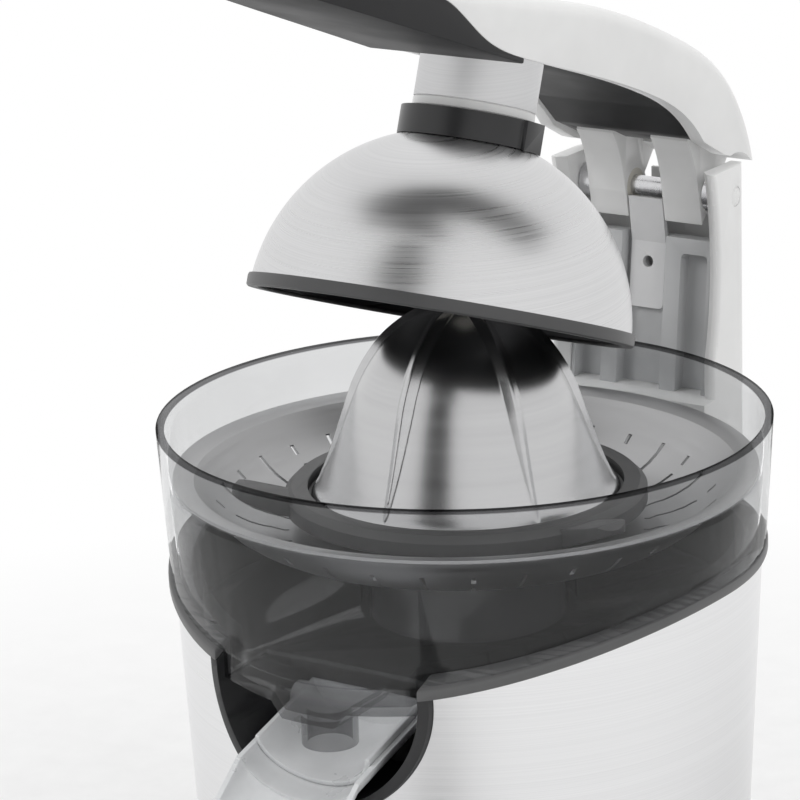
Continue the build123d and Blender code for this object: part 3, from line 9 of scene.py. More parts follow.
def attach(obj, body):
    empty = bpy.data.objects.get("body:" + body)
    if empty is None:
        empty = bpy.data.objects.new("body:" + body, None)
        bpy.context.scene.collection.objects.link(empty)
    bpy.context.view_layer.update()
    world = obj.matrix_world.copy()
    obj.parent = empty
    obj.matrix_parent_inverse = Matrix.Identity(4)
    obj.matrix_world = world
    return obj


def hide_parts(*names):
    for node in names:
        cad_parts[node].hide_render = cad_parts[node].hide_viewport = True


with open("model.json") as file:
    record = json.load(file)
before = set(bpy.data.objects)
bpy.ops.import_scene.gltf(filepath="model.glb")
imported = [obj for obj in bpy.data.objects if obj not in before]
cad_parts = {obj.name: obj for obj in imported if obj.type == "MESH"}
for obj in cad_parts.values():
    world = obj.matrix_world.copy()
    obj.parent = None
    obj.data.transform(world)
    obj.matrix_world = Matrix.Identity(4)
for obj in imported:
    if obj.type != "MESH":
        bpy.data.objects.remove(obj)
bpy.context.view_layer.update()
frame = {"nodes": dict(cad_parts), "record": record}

# Sizes in mm, heights from the table
MM = 0.001
RIM_Z = 215.0
HINGE_Y = 117.0
HINGE_Z = 259.6
RING_LOW_Z = RIM_Z - 10.86
DOME_CENTRE_Z = RING_LOW_Z - 1.4
DOME_R = 57.3
DOME_INSIDE_R = 56.3
DOME_SHADE_R = 56.8
SPACER_LOW_Z = RING_LOW_Z + 60.8
CONE_LOW_Z = RIM_Z - 23.9
CONE_TIP = 59.5
CONE_WALL = 0.9
CONE_SIDE = [(46.9, 0.0), (46.9, 0.7), (46.3, 1.9), (44.0, 4.93), (40.0, 13.5), (36.7, 21.8), (34.2, 28.6),
             (31.5, 35.4), (27.9, 42.0), (23.45, 47.9), (18.2, 52.6), (12.2, 56.4), (6.0, 58.7), (1.2, 59.4)]
RIB_LOW = 2.5
RIB_FIRST = 2.6
RIB_CLIMB = 30.0
RIB_POINT = 0.4
RIB_SWELL = 2.5
RIB_SHOULDER = 45.0
RIB_FULL_R = 12.0
RIB_BARE_R = 0.5
STRAINER_WALL = 1.0
SLOT_IN_R = 54.0
SLOT_SPLIT_R = 70.0
SLOT_FAR_IN_R = 73.2
SLOT_FAR_OUT_R = 75.8
SLOT_OUT_R = 76.1
DECK_Z = RIM_Z - 41.9
DECK_BEND_R = 228.0
SLEEVE_LOW_Z = 8.0
SLEEVE_HIGH_Z = 180.0
SLEEVE_LOW_R = 81.5
SLEEVE_WALL = 1.0
NICHE_R = 38.0
NICHE_GAP = 0.2
NICHE_Z = RIM_Z - 59.5
PIN_BARE_HALF = 29.0
# Heights in mm of the painted shade band along the bowl's rim, and of the darker outlet band
RIM_SHADE_BAND = (RIM_Z - 1.1, RIM_Z - 0.7)
OUTLET_EDGE = (RIM_Z - 60.0, RIM_Z - 63.0)

# Cuts in the sleeve, in mm: blocks by size and middle, and the reach of the round cuts
FRONT_BLOCK = ((300.0, 200.0, 300.0), (0.0, -100.0, 100.0))
PILLAR_BLOCK = ((60.4, 100.0, 148.0), (0.0, 80.0, 74.0))
BEND_CUT_LONG = 600.0
NICHE_CUT_DEEP = 120.0
NICHE_CUT_HIGH = 40.0
NICHE_CUT_Y = -90.0

# Turns in degrees, apart from the arm's, which is in radians
REST_ANGLE = math.radians(20.37)
DOME_NECK_TURN = 12.4
DOME_NECK_INSIDE_TURN = 12.6
DOME_LIP_TURN = 87.4
RIB_STEP = 60.0
RIB_START = 30.0
SLOT_STEP = 22.5
SLOT_HALF = 0.56

# Shares and counts
DOME_STEPS = 44
CONE_FOOT_SPANS = 2
CONE_SPAN_STEPS = 6
RIB_SWELL_POWER = 0.7
RIB_LIFT_SHARE = 0.75
RIB_FLAT_SHARE = 0.9
RIB_SIDE_LEAN = 0.55
RIB_TOP_LEAN = 0.8
RIB_OUT_LOSS = 0.4
RIB_UP_SHARE = 0.6
SLEEVE_FLARE = 0.0485

# The arm's turn at rest, which raises what is modelled closed
RAISE = (Matrix.Translation((0, HINGE_Y * MM, HINGE_Z * MM)) @ Matrix.Rotation(-REST_ANGLE, 4, "X")
         @ Matrix.Translation((0, -HINGE_Y * MM, -HINGE_Z * MM)))
RAISED_DOME = RAISE @ Vector((0, 0, DOME_CENTRE_Z * MM))


# Modelling helpers

def deselect():
    """Nothing selected, object mode."""
    if bpy.context.object and bpy.context.object.mode != "OBJECT":
        bpy.ops.object.mode_set(mode="OBJECT")
    bpy.ops.object.select_all(action="DESELECT")


def pick(piece):
    """Make one piece the only selected and active object."""
    deselect()
    piece.select_set(True)
    bpy.context.view_layer.objects.active = piece


def edit_all(piece):
    """Enter edit mode with the whole mesh selected."""
    pick(piece)
    bpy.ops.object.mode_set(mode="EDIT")
    bpy.ops.mesh.select_mode(type="VERT")
    bpy.ops.mesh.select_all(action="SELECT")


def leave_edit():
    bpy.ops.object.mode_set(mode="OBJECT")


def place_mesh(piece, matrix=None):
    """Put the object's place into its mesh, so that the object sits at the origin."""
    pick(piece)
    if matrix is not None:
        piece.matrix_world = matrix @ piece.matrix_world
    bpy.ops.object.transform_apply(location=True, rotation=True, scale=True)


def modify(piece, kind, **settings):
    """Add a modifier and apply it."""
    pick(piece)
    step = piece.modifiers.new(kind.title(), kind)
    for key, value in settings.items():
        setattr(step, key, value)
    bpy.ops.object.modifier_apply(modifier=step.name)


def cut(piece, cutter):
    """Take a cutter out of a piece and remove the cutter."""
    modify(piece, "BOOLEAN", operation="DIFFERENCE", object=cutter, solver="EXACT")
    bpy.data.objects.remove(cutter, do_unlink=True)


def smooth(piece, degrees=32.0):
    pick(piece)
    bpy.ops.object.shade_smooth_by_angle(angle=math.radians(degrees))


def soften(piece, width, degrees=38.0, steps=2):
    """Small round on every sharp edge."""
    modify(piece, "BEVEL", width=width * MM, segments=steps, limit_method="ANGLE",
           angle_limit=math.radians(degrees), use_clamp_overlap=True, miter_outer="MITER_ARC")


def turned(name, profile, sides=160, close=True):
    """Ring drawn up through radius and height points in mm, closed into a wall or run to a tip."""
    deselect()
    r, z = profile[0]
    bpy.ops.mesh.primitive_circle_add(vertices=sides, radius=r * MM, fill_type="NOTHING")
    piece = bpy.context.object
    piece.name = name
    edit_all(piece)
    bpy.ops.transform.translate(value=(0, 0, z * MM))
    path = profile[1:] + ([profile[0]] if close else [])
    for next_r, next_z in path:
        bpy.ops.mesh.extrude_region_move(TRANSFORM_OT_translate={"value": (0, 0, (next_z - z) * MM)})
        if next_r <= 0:
            bpy.ops.mesh.merge(type="CENTER")
            break
        if abs(next_r - r) > 1e-9:
            k = next_r / r
            bpy.ops.transform.resize(value=(k, k, 1), center_override=(0, 0, next_z * MM))
        r, z = next_r, next_z
    bpy.ops.mesh.select_all(action="SELECT")
    bpy.ops.mesh.remove_doubles(threshold=1e-7)
    bpy.ops.mesh.normals_make_consistent(inside=False)
    leave_edit()
    return piece


def moulded(node, name, bevel=0.0, degrees=32.0, clean=True):
    """Smooth moulded version of a CAD node: its solid merged, its flats cleaned and its edges softened."""
    mesh = frame["nodes"][node].data.copy()
    mesh.materials.clear()
    piece = bpy.data.objects.new(name, mesh)
    bpy.context.scene.collection.objects.link(piece)
    edit_all(piece)
    bpy.ops.mesh.remove_doubles(threshold=1e-6)
    if clean:
        bpy.ops.mesh.dissolve_limited(angle_limit=math.radians(0.4))
    leave_edit()
    if bevel:
        soften(piece, bevel)
    smooth(piece, degrees)
    return piece


def hand_over(piece, body, finish, slot, *nodes):
    """Give a piece its finish, the body that it rides on and the nodes that it stands for."""
    piece.data.materials.clear()
    piece.data.materials.append(finish)
    for face in piece.data.polygons:
        face.material_index = 0
    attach(piece, body)
    if nodes:
        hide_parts(*nodes)
    return piece


def arc(radius, start, end, count, centre_z):
    """Radius and height points on a ball, by angle from its top in degrees."""
    points = []
    for i in range(count):
        turn = math.radians(start + (end - start) * i / (count - 1))
        points.append((radius * math.sin(turn), centre_z + radius * math.cos(turn)))
    return points


# Finishes

def blank(name):
    finish = bpy.data.materials.new(name)
    finish.use_nodes = True
    nodes = finish.node_tree.nodes
    return finish, nodes, finish.node_tree.links, nodes["Principled BSDF"]


def grain(nodes, links, scale, detail, stretch=(1, 1, 1), turn=(0, 0, 0)):
    """Noise on object coordinates, stretched and turned."""
    coords = nodes.new("ShaderNodeTexCoord")
    mapping = nodes.new("ShaderNodeMapping")
    mapping.inputs["Scale"].default_value = stretch
    mapping.inputs["Rotation"].default_value = turn
    noise = nodes.new("ShaderNodeTexNoise")
    noise.inputs["Scale"].default_value = scale
    noise.inputs["Detail"].default_value = detail
    noise.inputs["Roughness"].default_value = 0.6
    links.new(coords.outputs["Object"], mapping.inputs["Vector"])
    links.new(mapping.outputs["Vector"], noise.inputs["Vector"])
    return noise.outputs["Fac"]


def spread(nodes, links, source, low, high):
    """Noise turned into a value between two ends."""
    span = nodes.new("ShaderNodeMapRange")
    span.inputs["From Min"].default_value = 0.3
    span.inputs["From Max"].default_value = 0.7
    span.inputs["To Min"].default_value = low
    span.inputs["To Max"].default_value = high
    links.new(source, span.inputs["Value"])
    return span.outputs["Result"]


def tint(nodes, links, source, dark, light):
    """Noise turned into a colour between two tones."""
    ramp = nodes.new("ShaderNodeValToRGB")
    ramp.color_ramp.elements[0].position = 0.3
    ramp.color_ramp.elements[0].color = (*dark, 1)
    ramp.color_ramp.elements[1].position = 0.7
    ramp.color_ramp.elements[1].color = (*light, 1)
    links.new(source, ramp.inputs["Fac"])
    return ramp.outputs["Color"]


def relief(nodes, links, source, strength, depth, shader):
    bump = nodes.new("ShaderNodeBump")
    bump.inputs["Strength"].default_value = strength
    bump.inputs["Distance"].default_value = depth
    links.new(source, bump.inputs["Height"])
    links.new(bump.outputs["Normal"], shader.inputs["Normal"])


def plastic(name, dark, light, rough, texture, strength, coat=0.0, shine=0.5):
    """Moulded plastic: cloudy tone, fine pebble grain and uneven gloss."""
    finish, nodes, links, shader = blank(name)
    cloud = grain(nodes, links, 38.0, 3.0)
    pebble = grain(nodes, links, texture, 2.0)
    links.new(tint(nodes, links, cloud, dark, light), shader.inputs["Base Color"])
    links.new(spread(nodes, links, cloud, rough - 0.04, rough + 0.05), shader.inputs["Roughness"])
    relief(nodes, links, pebble, strength, 0.00012, shader)
    shader.inputs["IOR"].default_value = 1.49
    shader.inputs["Specular IOR Level"].default_value = shine
    if coat:
        shader.inputs["Coat Weight"].default_value = coat
        shader.inputs["Coat Roughness"].default_value = 0.12
    return finish


def painted_shade_inside(nodes, links, colour, centre, radius):
    """Painted shade: darker tone for the faces nearer to a centre than a radius."""
    coords = nodes.new("ShaderNodeTexCoord")
    away = nodes.new("ShaderNodeVectorMath")
    away.operation = "DISTANCE"
    away.inputs[1].default_value = centre
    links.new(coords.outputs["Object"], away.inputs[0])
    edge = nodes.new("ShaderNodeMath")
    edge.operation = "GREATER_THAN"
    edge.inputs[1].default_value = radius * MM
    links.new(away.outputs["Value"], edge.inputs[0])
    mix = nodes.new("ShaderNodeMix")
    mix.data_type = "RGBA"
    mix.inputs["A"].default_value = (0.06, 0.06, 0.062, 1)
    links.new(edge.outputs[0], mix.inputs["Factor"])
    links.new(colour, mix.inputs["B"])
    return mix.outputs["Result"]


def brushed(name, dark, light, rough, stretch, turn=(0, 0, 0), strength=0.12, lean=0.55, inside=None,
            uneven=0.08):
    """Brushed steel: long fine scratches, a broad cloud of tone and a stretched highlight."""
    finish, nodes, links, shader = blank(name)
    lines = grain(nodes, links, 1.0, 6.0, stretch, turn)
    cloud = grain(nodes, links, 22.0, 2.0)
    colour = tint(nodes, links, lines, dark, light)
    # Painted shade: faces within a radius of a centre get a dark tone
    if inside:
        colour = painted_shade_inside(nodes, links, colour, *inside)
    links.new(colour, shader.inputs["Base Color"])
    mixed = nodes.new("ShaderNodeMath")
    mixed.operation = "MULTIPLY_ADD"
    mixed.inputs[1].default_value = 0.25
    links.new(cloud, mixed.inputs[0])
    scaled = nodes.new("ShaderNodeMath")
    scaled.operation = "MULTIPLY"
    scaled.inputs[1].default_value = 0.75
    links.new(lines, scaled.inputs[0])
    links.new(scaled.outputs[0], mixed.inputs[2])
    gloss = spread(nodes, links, mixed.outputs[0], rough - uneven, rough + uneven)
    links.new(gloss, shader.inputs["Roughness"])
    relief(nodes, links, lines, strength, 0.00006, shader)
    shader.inputs["Metallic"].default_value = 1.0
    shader.inputs["Anisotropic"].default_value = lean
    tangent = nodes.new("ShaderNodeTangent")
    tangent.direction_type = "RADIAL"
    tangent.axis = "Z"
    links.new(tangent.outputs["Tangent"], shader.inputs["Tangent"])
    return finish


def height_band(nodes, links, low, high):
    """Share that goes from zero at the first height to one at the second, in mm."""
    coords = nodes.new("ShaderNodeTexCoord")
    split = nodes.new("ShaderNodeSeparateXYZ")
    links.new(coords.outputs["Object"], split.inputs[0])
    band = nodes.new("ShaderNodeMapRange")
    band.inputs["From Min"].default_value = low * MM
    band.inputs["From Max"].default_value = high * MM
    links.new(split.outputs["Z"], band.inputs["Value"])
    return band.outputs["Result"]


def blend(nodes, links, share, first, second):
    """Mix of a linked colour and a fixed one."""
    mix = nodes.new("ShaderNodeMix")
    mix.data_type = "RGBA"
    mix.inputs["B"].default_value = (*second, 1)
    links.new(share, mix.inputs["Factor"])
    links.new(first, mix.inputs["A"])
    return mix.outputs["Result"]


def clear_bowl_plastic():
    """Clear smoky plastic that hardly bends the view, with painted shade along the rim edge, a dark outlet
    and a gloss coat.
    """
    finish, nodes, links, shader = blank("clear_bowl_plastic")
    flow = grain(nodes, links, 16.0, 2.0)
    colour = tint(nodes, links, flow, (0.70, 0.705, 0.71), (0.75, 0.755, 0.76))
    # Painted shade: the rim edge band is painted nearly black and the gloss coat is turned down there
    rim = height_band(nodes, links, *RIM_SHADE_BAND)
    outlet = height_band(nodes, links, *OUTLET_EDGE)
    colour = blend(nodes, links, rim, colour, (0.05, 0.05, 0.052))
    colour = blend(nodes, links, outlet, colour, (0.50, 0.50, 0.505))
    links.new(colour, shader.inputs["Base Color"])
    links.new(spread(nodes, links, flow, 0.0, 0.02), shader.inputs["Roughness"])
    shader.inputs["Transmission Weight"].default_value = 1.0
    shader.inputs["IOR"].default_value = 1.003
    links.new(spread(nodes, links, rim, 0.5, 0.12), shader.inputs["Coat Weight"])
    shader.inputs["Coat Roughness"].default_value = 0.03
    shader.inputs["Coat IOR"].default_value = 1.5
    return finish


def capped_pin():
    """Bright zinc pin whose two ends are painted white."""
    finish, nodes, links, shader = blank("capped_pin")
    coords = nodes.new("ShaderNodeTexCoord")
    split = nodes.new("ShaderNodeSeparateXYZ")
    links.new(coords.outputs["Object"], split.inputs[0])
    side = nodes.new("ShaderNodeMath")
    side.operation = "ABSOLUTE"
    links.new(split.outputs["X"], side.inputs[0])
    bare = nodes.new("ShaderNodeMath")
    bare.operation = "LESS_THAN"
    bare.inputs[1].default_value = PIN_BARE_HALF * MM
    links.new(side.outputs[0], bare.inputs[0])
    lines = grain(nodes, links, 300.0, 3.0)
    mix = nodes.new("ShaderNodeMix")
    mix.data_type = "RGBA"
    mix.inputs["A"].default_value = (0.79, 0.79, 0.785, 1)
    links.new(bare.outputs[0], mix.inputs["Factor"])
    links.new(tint(nodes, links, lines, (0.60, 0.60, 0.61), (0.70, 0.70, 0.71)), mix.inputs["B"])
    links.new(mix.outputs["Result"], shader.inputs["Base Color"])
    links.new(bare.outputs[0], shader.inputs["Metallic"])
    links.new(spread(nodes, links, lines, 0.22, 0.34), shader.inputs["Roughness"])
    return finish


def frosted_spout_plastic():
    """Frosted translucent grey plastic."""
    finish, nodes, links, shader = blank("frosted_spout_plastic")
    cloud = grain(nodes, links, 55.0, 4.0)
    pebble = grain(nodes, links, 1800.0, 2.0)
    links.new(tint(nodes, links, cloud, (0.69, 0.70, 0.71), (0.79, 0.80, 0.81)), shader.inputs["Base Color"])
    links.new(spread(nodes, links, cloud, 0.26, 0.38), shader.inputs["Roughness"])
    shader.inputs["Transmission Weight"].default_value = 0.2
    shader.inputs["Coat Weight"].default_value = 0.3
    shader.inputs["Coat Roughness"].default_value = 0.2
    relief(nodes, links, pebble, 0.08, 0.0001, shader)
    return finish


white_shell = plastic("white_shell", (0.77, 0.77, 0.765), (0.82, 0.82, 0.815), 0.34, 1500.0, 0.05, coat=0.15)
panel_satin = plastic("panel_satin", (0.47, 0.475, 0.48), (0.53, 0.535, 0.54), 0.36, 1500.0, 0.06)
bracket_grey = plastic("bracket_grey", (0.68, 0.68, 0.685), (0.74, 0.74, 0.745), 0.42, 1400.0, 0.06)
# Deck: its own dark grey, lifted above the dark moulding's tone as painted light, to brighten the pan seen
# through the clear bowl
deck_grey_painted_light = plastic("deck_grey_painted_light", (0.085, 0.085, 0.086), (0.10, 0.10, 0.101), 0.40, 2200.0, 0.02)
dark_moulding = plastic("dark_moulding", (0.050, 0.050, 0.051), (0.062, 0.062, 0.063), 0.42, 2200.0, 0.03)
grip_dark = plastic("grip_dark", (0.015, 0.015, 0.016), (0.022, 0.022, 0.023), 0.50, 2600.0, 0.06, shine=0.2)
niche_black = plastic("niche_black", (0.014, 0.014, 0.015), (0.024, 0.024, 0.025), 0.5, 2000.0, 0.2)
collar_black = plastic("collar_black", (0.012, 0.012, 0.013), (0.020, 0.020, 0.021), 0.33, 1800.0, 0.12)
gear_nylon = plastic("gear_nylon", (0.58, 0.56, 0.50), (0.66, 0.64, 0.58), 0.48, 900.0, 0.12)
foot_rubber = plastic("foot_rubber", (0.016, 0.016, 0.016), (0.028, 0.028, 0.028), 0.72, 1600.0, 0.35)
motor_plating = plastic("motor_plating", (0.20, 0.21, 0.22), (0.27, 0.28, 0.29), 0.42, 700.0, 0.1)
sleeve_steel = brushed("sleeve_steel", (0.78, 0.78, 0.785), (0.86, 0.86, 0.865), 0.34, (3, 3, 2600),
                       strength=0.03)
sleeve_steel_raised = brushed("sleeve_steel_raised", (0.60, 0.60, 0.605), (0.68, 0.68, 0.685), 0.50,
                              (5, 5, 2600), (REST_ANGLE, 0, 0), strength=0.05, lean=0.5)
# The dome's inside gets painted shade, a dark tone inside the shade radius
dome_steel = brushed("dome_steel", (0.62, 0.62, 0.625), (0.73, 0.73, 0.735), 0.31, (5, 5, 2600),
                     (REST_ANGLE, 0, 0), strength=0.06, lean=0.5, inside=(RAISED_DOME, DOME_SHADE_R))
cone_steel = brushed("cone_steel", (0.52, 0.52, 0.525), (0.56, 0.56, 0.565), 0.24, (4, 4, 300),
                     strength=0.0, lean=0.3, uneven=0.02)
strainer_steel = brushed("strainer_steel", (0.46, 0.46, 0.465), (0.50, 0.50, 0.505), 0.42, (30, 30, 600),
                         strength=0.02, lean=0.2)
bright_zinc = brushed("bright_zinc", (0.60, 0.60, 0.615), (0.70, 0.70, 0.715), 0.22, (300, 300, 300),
                      strength=0.05, lean=0.0)
bearing_brass = brushed("bearing_brass", (0.62, 0.46, 0.22), (0.72, 0.55, 0.28), 0.30, (200, 200, 900),
                        strength=0.06, lean=0.2)
pin_zinc = capped_pin()
bowl_clear = clear_bowl_plastic()
spout_frosted = frosted_spout_plastic()


# Press dome and what carries it, modelled closed and then raised

def dome_shell():
    """Spun dome, open at its neck and along its lip."""
    outer = arc(DOME_R, DOME_NECK_TURN, DOME_LIP_TURN, DOME_STEPS, DOME_CENTRE_Z)
    inner = arc(DOME_INSIDE_R, DOME_LIP_TURN, DOME_NECK_INSIDE_TURN, DOME_STEPS, DOME_CENTRE_Z)
    piece = turned("press_dome_shell", outer + inner, 192)
    place_mesh(piece, RAISE)
    smooth(piece, 40)
    hand_over(piece, "press_dome", dome_steel, "brushed_steel", "dome")


def dome_rim_ring():
    """Dark ring pressed on the dome's lip."""
    shape = [(54.5, 0.3), (54.9, 0.0), (57.7, 0.0), (58.2, 0.5), (58.2, 3.3), (57.9, 4.0), (57.5, 4.0),
             (57.5, 0.9), (54.7, 0.9), (54.5, 0.7)]
    piece = turned("press_dome_ring", [(r, RING_LOW_Z + h) for r, h in shape], 192)
    place_mesh(piece, RAISE)
    smooth(piece, 35)
    hand_over(piece, "press_dome", dark_moulding, "dark_plastic", "dome_ring")


def carrier_sleeve():
    """White spacer, the steel sleeve over it and the black collar under it."""
    shape = [(15.5, 0.0), (18.0, 0.0), (18.4, 0.4), (18.4, 2.6), (18.0, 3.0), (15.5, 3.0)]
    spacer = turned("sleeve_spacer", [(r, SPACER_LOW_Z + h) for r, h in shape], 128)
    place_mesh(spacer, RAISE)
    smooth(spacer, 35)
    hand_over(spacer, "arm", white_shell, "white_plastic", "spacer_ring")
    sleeve = moulded("dome_sleeve", "carrier_sleeve", 0.25)
    hand_over(sleeve, "arm", sleeve_steel_raised, "brushed_steel", "dome_sleeve")
    collar = moulded("dome_collar", "bayonet_collar", 0.5)
    hand_over(collar, "press_dome", collar_black, "black_plastic", "dome_collar")


# Cone, scraper and strainer

def cone_outline():
    """Cone outline resampled along a smooth curve through its measured points."""
    points = []
    count = len(CONE_SIDE)
    for i in range(count - 1):
        p0 = CONE_SIDE[max(i - 1, 0)]
        p1, p2 = CONE_SIDE[i], CONE_SIDE[i + 1]
        p3 = CONE_SIDE[min(i + 2, count - 1)]
        steps = 1 if i < CONE_FOOT_SPANS else CONE_SPAN_STEPS
        for k in range(steps):
            t = k / steps
            point = []
            for a in range(2):
                m1 = (p2[a] - p0[a]) * 0.5
                m2 = (p3[a] - p1[a]) * 0.5
                point.append((2 * t ** 3 - 3 * t ** 2 + 1) * p1[a] + (t ** 3 - 2 * t ** 2 + t) * m1
                             + (-2 * t ** 3 + 3 * t ** 2) * p2[a] + (t ** 3 - t ** 2) * m2)
            points.append((point[0], CONE_LOW_Z + point[1]))
    points.append((CONE_SIDE[-1][0], CONE_LOW_Z + CONE_SIDE[-1][1]))
    return points


def reaming_cone():
    """Polished cone whose ridged ribs swell from a point at the foot to the tip."""
    outer = cone_outline()
    piece = turned("reaming_cone", outer + [(0, CONE_LOW_Z + CONE_TIP)], 600, close=False)
    mesh = bmesh.new()
    mesh.from_mesh(piece.data)
    for vert in mesh.verts:
        radius = math.hypot(vert.co.x, vert.co.y) / MM
        height = vert.co.z / MM - CONE_LOW_Z
        if radius < RIB_BARE_R or height < RIB_FIRST:
            continue
        angle = math.degrees(math.atan2(vert.co.y, vert.co.x)) - RIB_START
        away = (angle + RIB_STEP / 2) % RIB_STEP - RIB_STEP / 2
        across = math.radians(abs(away)) * radius
        rise = min(1.0, (height - RIB_LOW) / RIB_CLIMB)
        width = RIB_POINT + RIB_SWELL * rise ** RIB_SWELL_POWER
        lift = RIB_LIFT_SHARE * width * min(1.0, radius / RIB_FULL_R)
        push = lift * min(RIB_FLAT_SHARE, max(0.0, 1.0 - across / width)) * MM
        lean = RIB_SIDE_LEAN if height < RIB_SHOULDER else RIB_TOP_LEAN
        out = Vector((vert.co.x, vert.co.y, 0)).normalized()
        vert.co += out * push * (1 - RIB_OUT_LOSS * lean) + Vector((0, 0, push * lean * RIB_UP_SHARE))
    mesh.to_mesh(piece.data)
    mesh.free()
    modify(piece, "SOLIDIFY", thickness=CONE_WALL * MM, offset=-1.0)
    smooth(piece, 50)
    hand_over(piece, "drive", cone_steel, "polished_steel", "cone")


def strainer_dish():
    """Pressed steel dish: slots are faces taken out of a turned sheet before it gets its thickness."""
    rim = [(88.6, -16.0), (86.0, -16.0), (84.2, -16.45), (82.3, -17.2)]
    side = [(79.9, -20.3), (77.9, -22.7), (SLOT_OUT_R, -24.6), (SLOT_FAR_OUT_R, -24.9),
            (SLOT_FAR_IN_R, -27.4), (SLOT_SPLIT_R, -29.8), (66.0, -31.9), (62.0, -33.3), (58.0, -34.2)]
    floor = [(55.6, -35.0), (SLOT_IN_R, -35.0), (40.0, -35.0), (22.0, -35.0)]
    piece = turned("strainer_dish", [(r, RIM_Z + z) for r, z in rim + side + floor], 640, close=False)
    edit_all(piece)
    bpy.ops.mesh.select_mode(type="FACE")
    bpy.ops.mesh.select_all(action="DESELECT")
    shape = bmesh.from_edit_mesh(piece.data)
    for face in shape.faces:
        middle = face.calc_center_median()
        radius = middle.to_2d().length / MM
        step = math.degrees(math.atan2(middle.y, middle.x)) % SLOT_STEP
        on_long = step < SLOT_HALF or step > SLOT_STEP - SLOT_HALF
        on_split = abs(step - SLOT_STEP / 2) < SLOT_HALF
        whole = SLOT_IN_R < radius < SLOT_OUT_R
        near_part = SLOT_IN_R < radius < SLOT_SPLIT_R
        far_part = SLOT_FAR_IN_R < radius < SLOT_FAR_OUT_R
        face.select_set((on_long and whole) or (on_split and (near_part or far_part)))
    bmesh.update_edit_mesh(piece.data)
    bpy.ops.mesh.delete(type="FACE")
    leave_edit()
    modify(piece, "SOLIDIFY", thickness=STRAINER_WALL * MM, offset=-1.0)
    smooth(piece, 30)
    hand_over(piece, "base", strainer_steel, "strainer_steel", "strainer")


# Body

def box_cutter(size, place):
    """Plain block for a cut, by its size and middle in mm."""
    deselect()
    bpy.ops.mesh.primitive_cube_add(size=1, location=[length * MM for length in place])
    cutter = bpy.context.object
    cutter.scale = [length * MM for length in size]
    place_mesh(cutter)
    return cutter


def round_cutter(sides, radius, depth, place, turn):
    """Plain cylinder for a cut, by its radius, depth and middle in mm and its turn in radians."""
    deselect()
    bpy.ops.mesh.primitive_cylinder_add(vertices=sides, radius=radius * MM, depth=depth * MM, rotation=turn,
                                        location=[length * MM for length in place])
    cutter = bpy.context.object
    place_mesh(cutter)
    return cutter


def steel_sleeve():
    """Brushed sleeve, cut along the bent deck, round the niche and behind for the pillar."""
    heights = (SLEEVE_LOW_Z, 8.6, 60.0, 110.0, 150.0, SLEEVE_HIGH_Z)
    outside = [(SLEEVE_LOW_R + (z - SLEEVE_LOW_Z) * SLEEVE_FLARE, z) for z in heights]
    inside = [(r - SLEEVE_WALL, z) for r, z in reversed(outside)]
    piece = turned("steel_sleeve", outside + inside, 240)
    edit_all(piece)
    bpy.ops.mesh.bisect(plane_co=(0, 0, DECK_Z * MM), plane_no=(0, 0, 1), clear_outer=True, use_fill=True)
    leave_edit()
    front = box_cutter(*FRONT_BLOCK)
    bend_middle = (0, 0, DECK_Z - DECK_BEND_R)
    cut(front, round_cutter(720, DECK_BEND_R, BEND_CUT_LONG, bend_middle, (0, math.pi / 2, 0)))
    cut(piece, front)
    niche_half = NICHE_R + NICHE_GAP
    niche_middle = (0, NICHE_CUT_Y, NICHE_Z)
    cut(piece, round_cutter(160, niche_half, NICHE_CUT_DEEP, niche_middle, (math.pi / 2, 0, 0)))
    cut(piece, box_cutter((niche_half * 2, NICHE_CUT_DEEP, NICHE_CUT_HIGH),
                          (0, NICHE_CUT_Y, NICHE_Z + NICHE_CUT_HIGH / 2)))
    cut(piece, box_cutter(*PILLAR_BLOCK))
    smooth(piece, 30)
    hand_over(piece, "base", sleeve_steel, "brushed_steel", "body_sleeve")


dome_shell()
dome_rim_ring()
carrier_sleeve()
reaming_cone()
strainer_dish()
steel_sleeve()

# Moulded pieces: node, name, edge round in mm, body, finish, slot. The folded plate has no edge round.
PLATE_SMOOTH = 12
MOULDED = [
    ("scraper_ring", "pulp_scraper", 0.6, "drive", dark_moulding, "dark_plastic"),
    ("bowl", "juice_bowl", 0.5, "base", bowl_clear, "clear_plastic"),
    ("top_deck", "bent_deck", 0.6, "base", deck_grey_painted_light, "dark_plastic"),
    ("niche_liner", "niche_frame", 0.5, "base", niche_black, "dark_plastic"),
    ("spout_nose", "spout_channel", 0.4, "spout", spout_frosted, "frosted_grey"),
    ("spout_tray", "spout_tray_insert", 0.4, "spout", spout_frosted, "frosted_grey"),
    ("arm_shell", "lever_shell", 0.6, "arm", white_shell, "white_plastic"),
    ("arm_underside", "lever_underside", 0.8, "arm", grip_dark, "dark_plastic"),
    ("pillar_shell", "pillar_housing", 0.6, "base", white_shell, "white_plastic"),
    ("pillar_panel", "fluted_panel", 0.4, "base", panel_satin, "panel_grey"),
    ("hinge_bracket", "hinge_plate", 0.0, "base", bracket_grey, "bright_steel"),
    ("hinge_pin", "hinge_rod", 0.4, "base", pin_zinc, "bright_steel"),
    ("rubber_feet", "feet_rubber", 0.5, "base", foot_rubber, "rubber"),
    ("base_plate", "base_moulding", 0.5, "base", dark_moulding, "dark_plastic"),
    ("cord_gland", "cord_bush", 0.4, "base", foot_rubber, "rubber"),
]
dressed = {}
for node, name, edge, body, finish, slot in MOULDED:
    if edge:
        piece = moulded(node, name, edge)
    else:
        piece = moulded(node, name, degrees=PLATE_SMOOTH, clean=False)
    dressed[node] = hand_over(piece, body, finish, slot, node)

# The clear bowl lets the lamps through, and the arm stays out of the dome's reflections
dressed["bowl"].visible_shadow = False
dressed["arm_shell"].visible_glossy = False
dressed["arm_underside"].visible_glossy = False

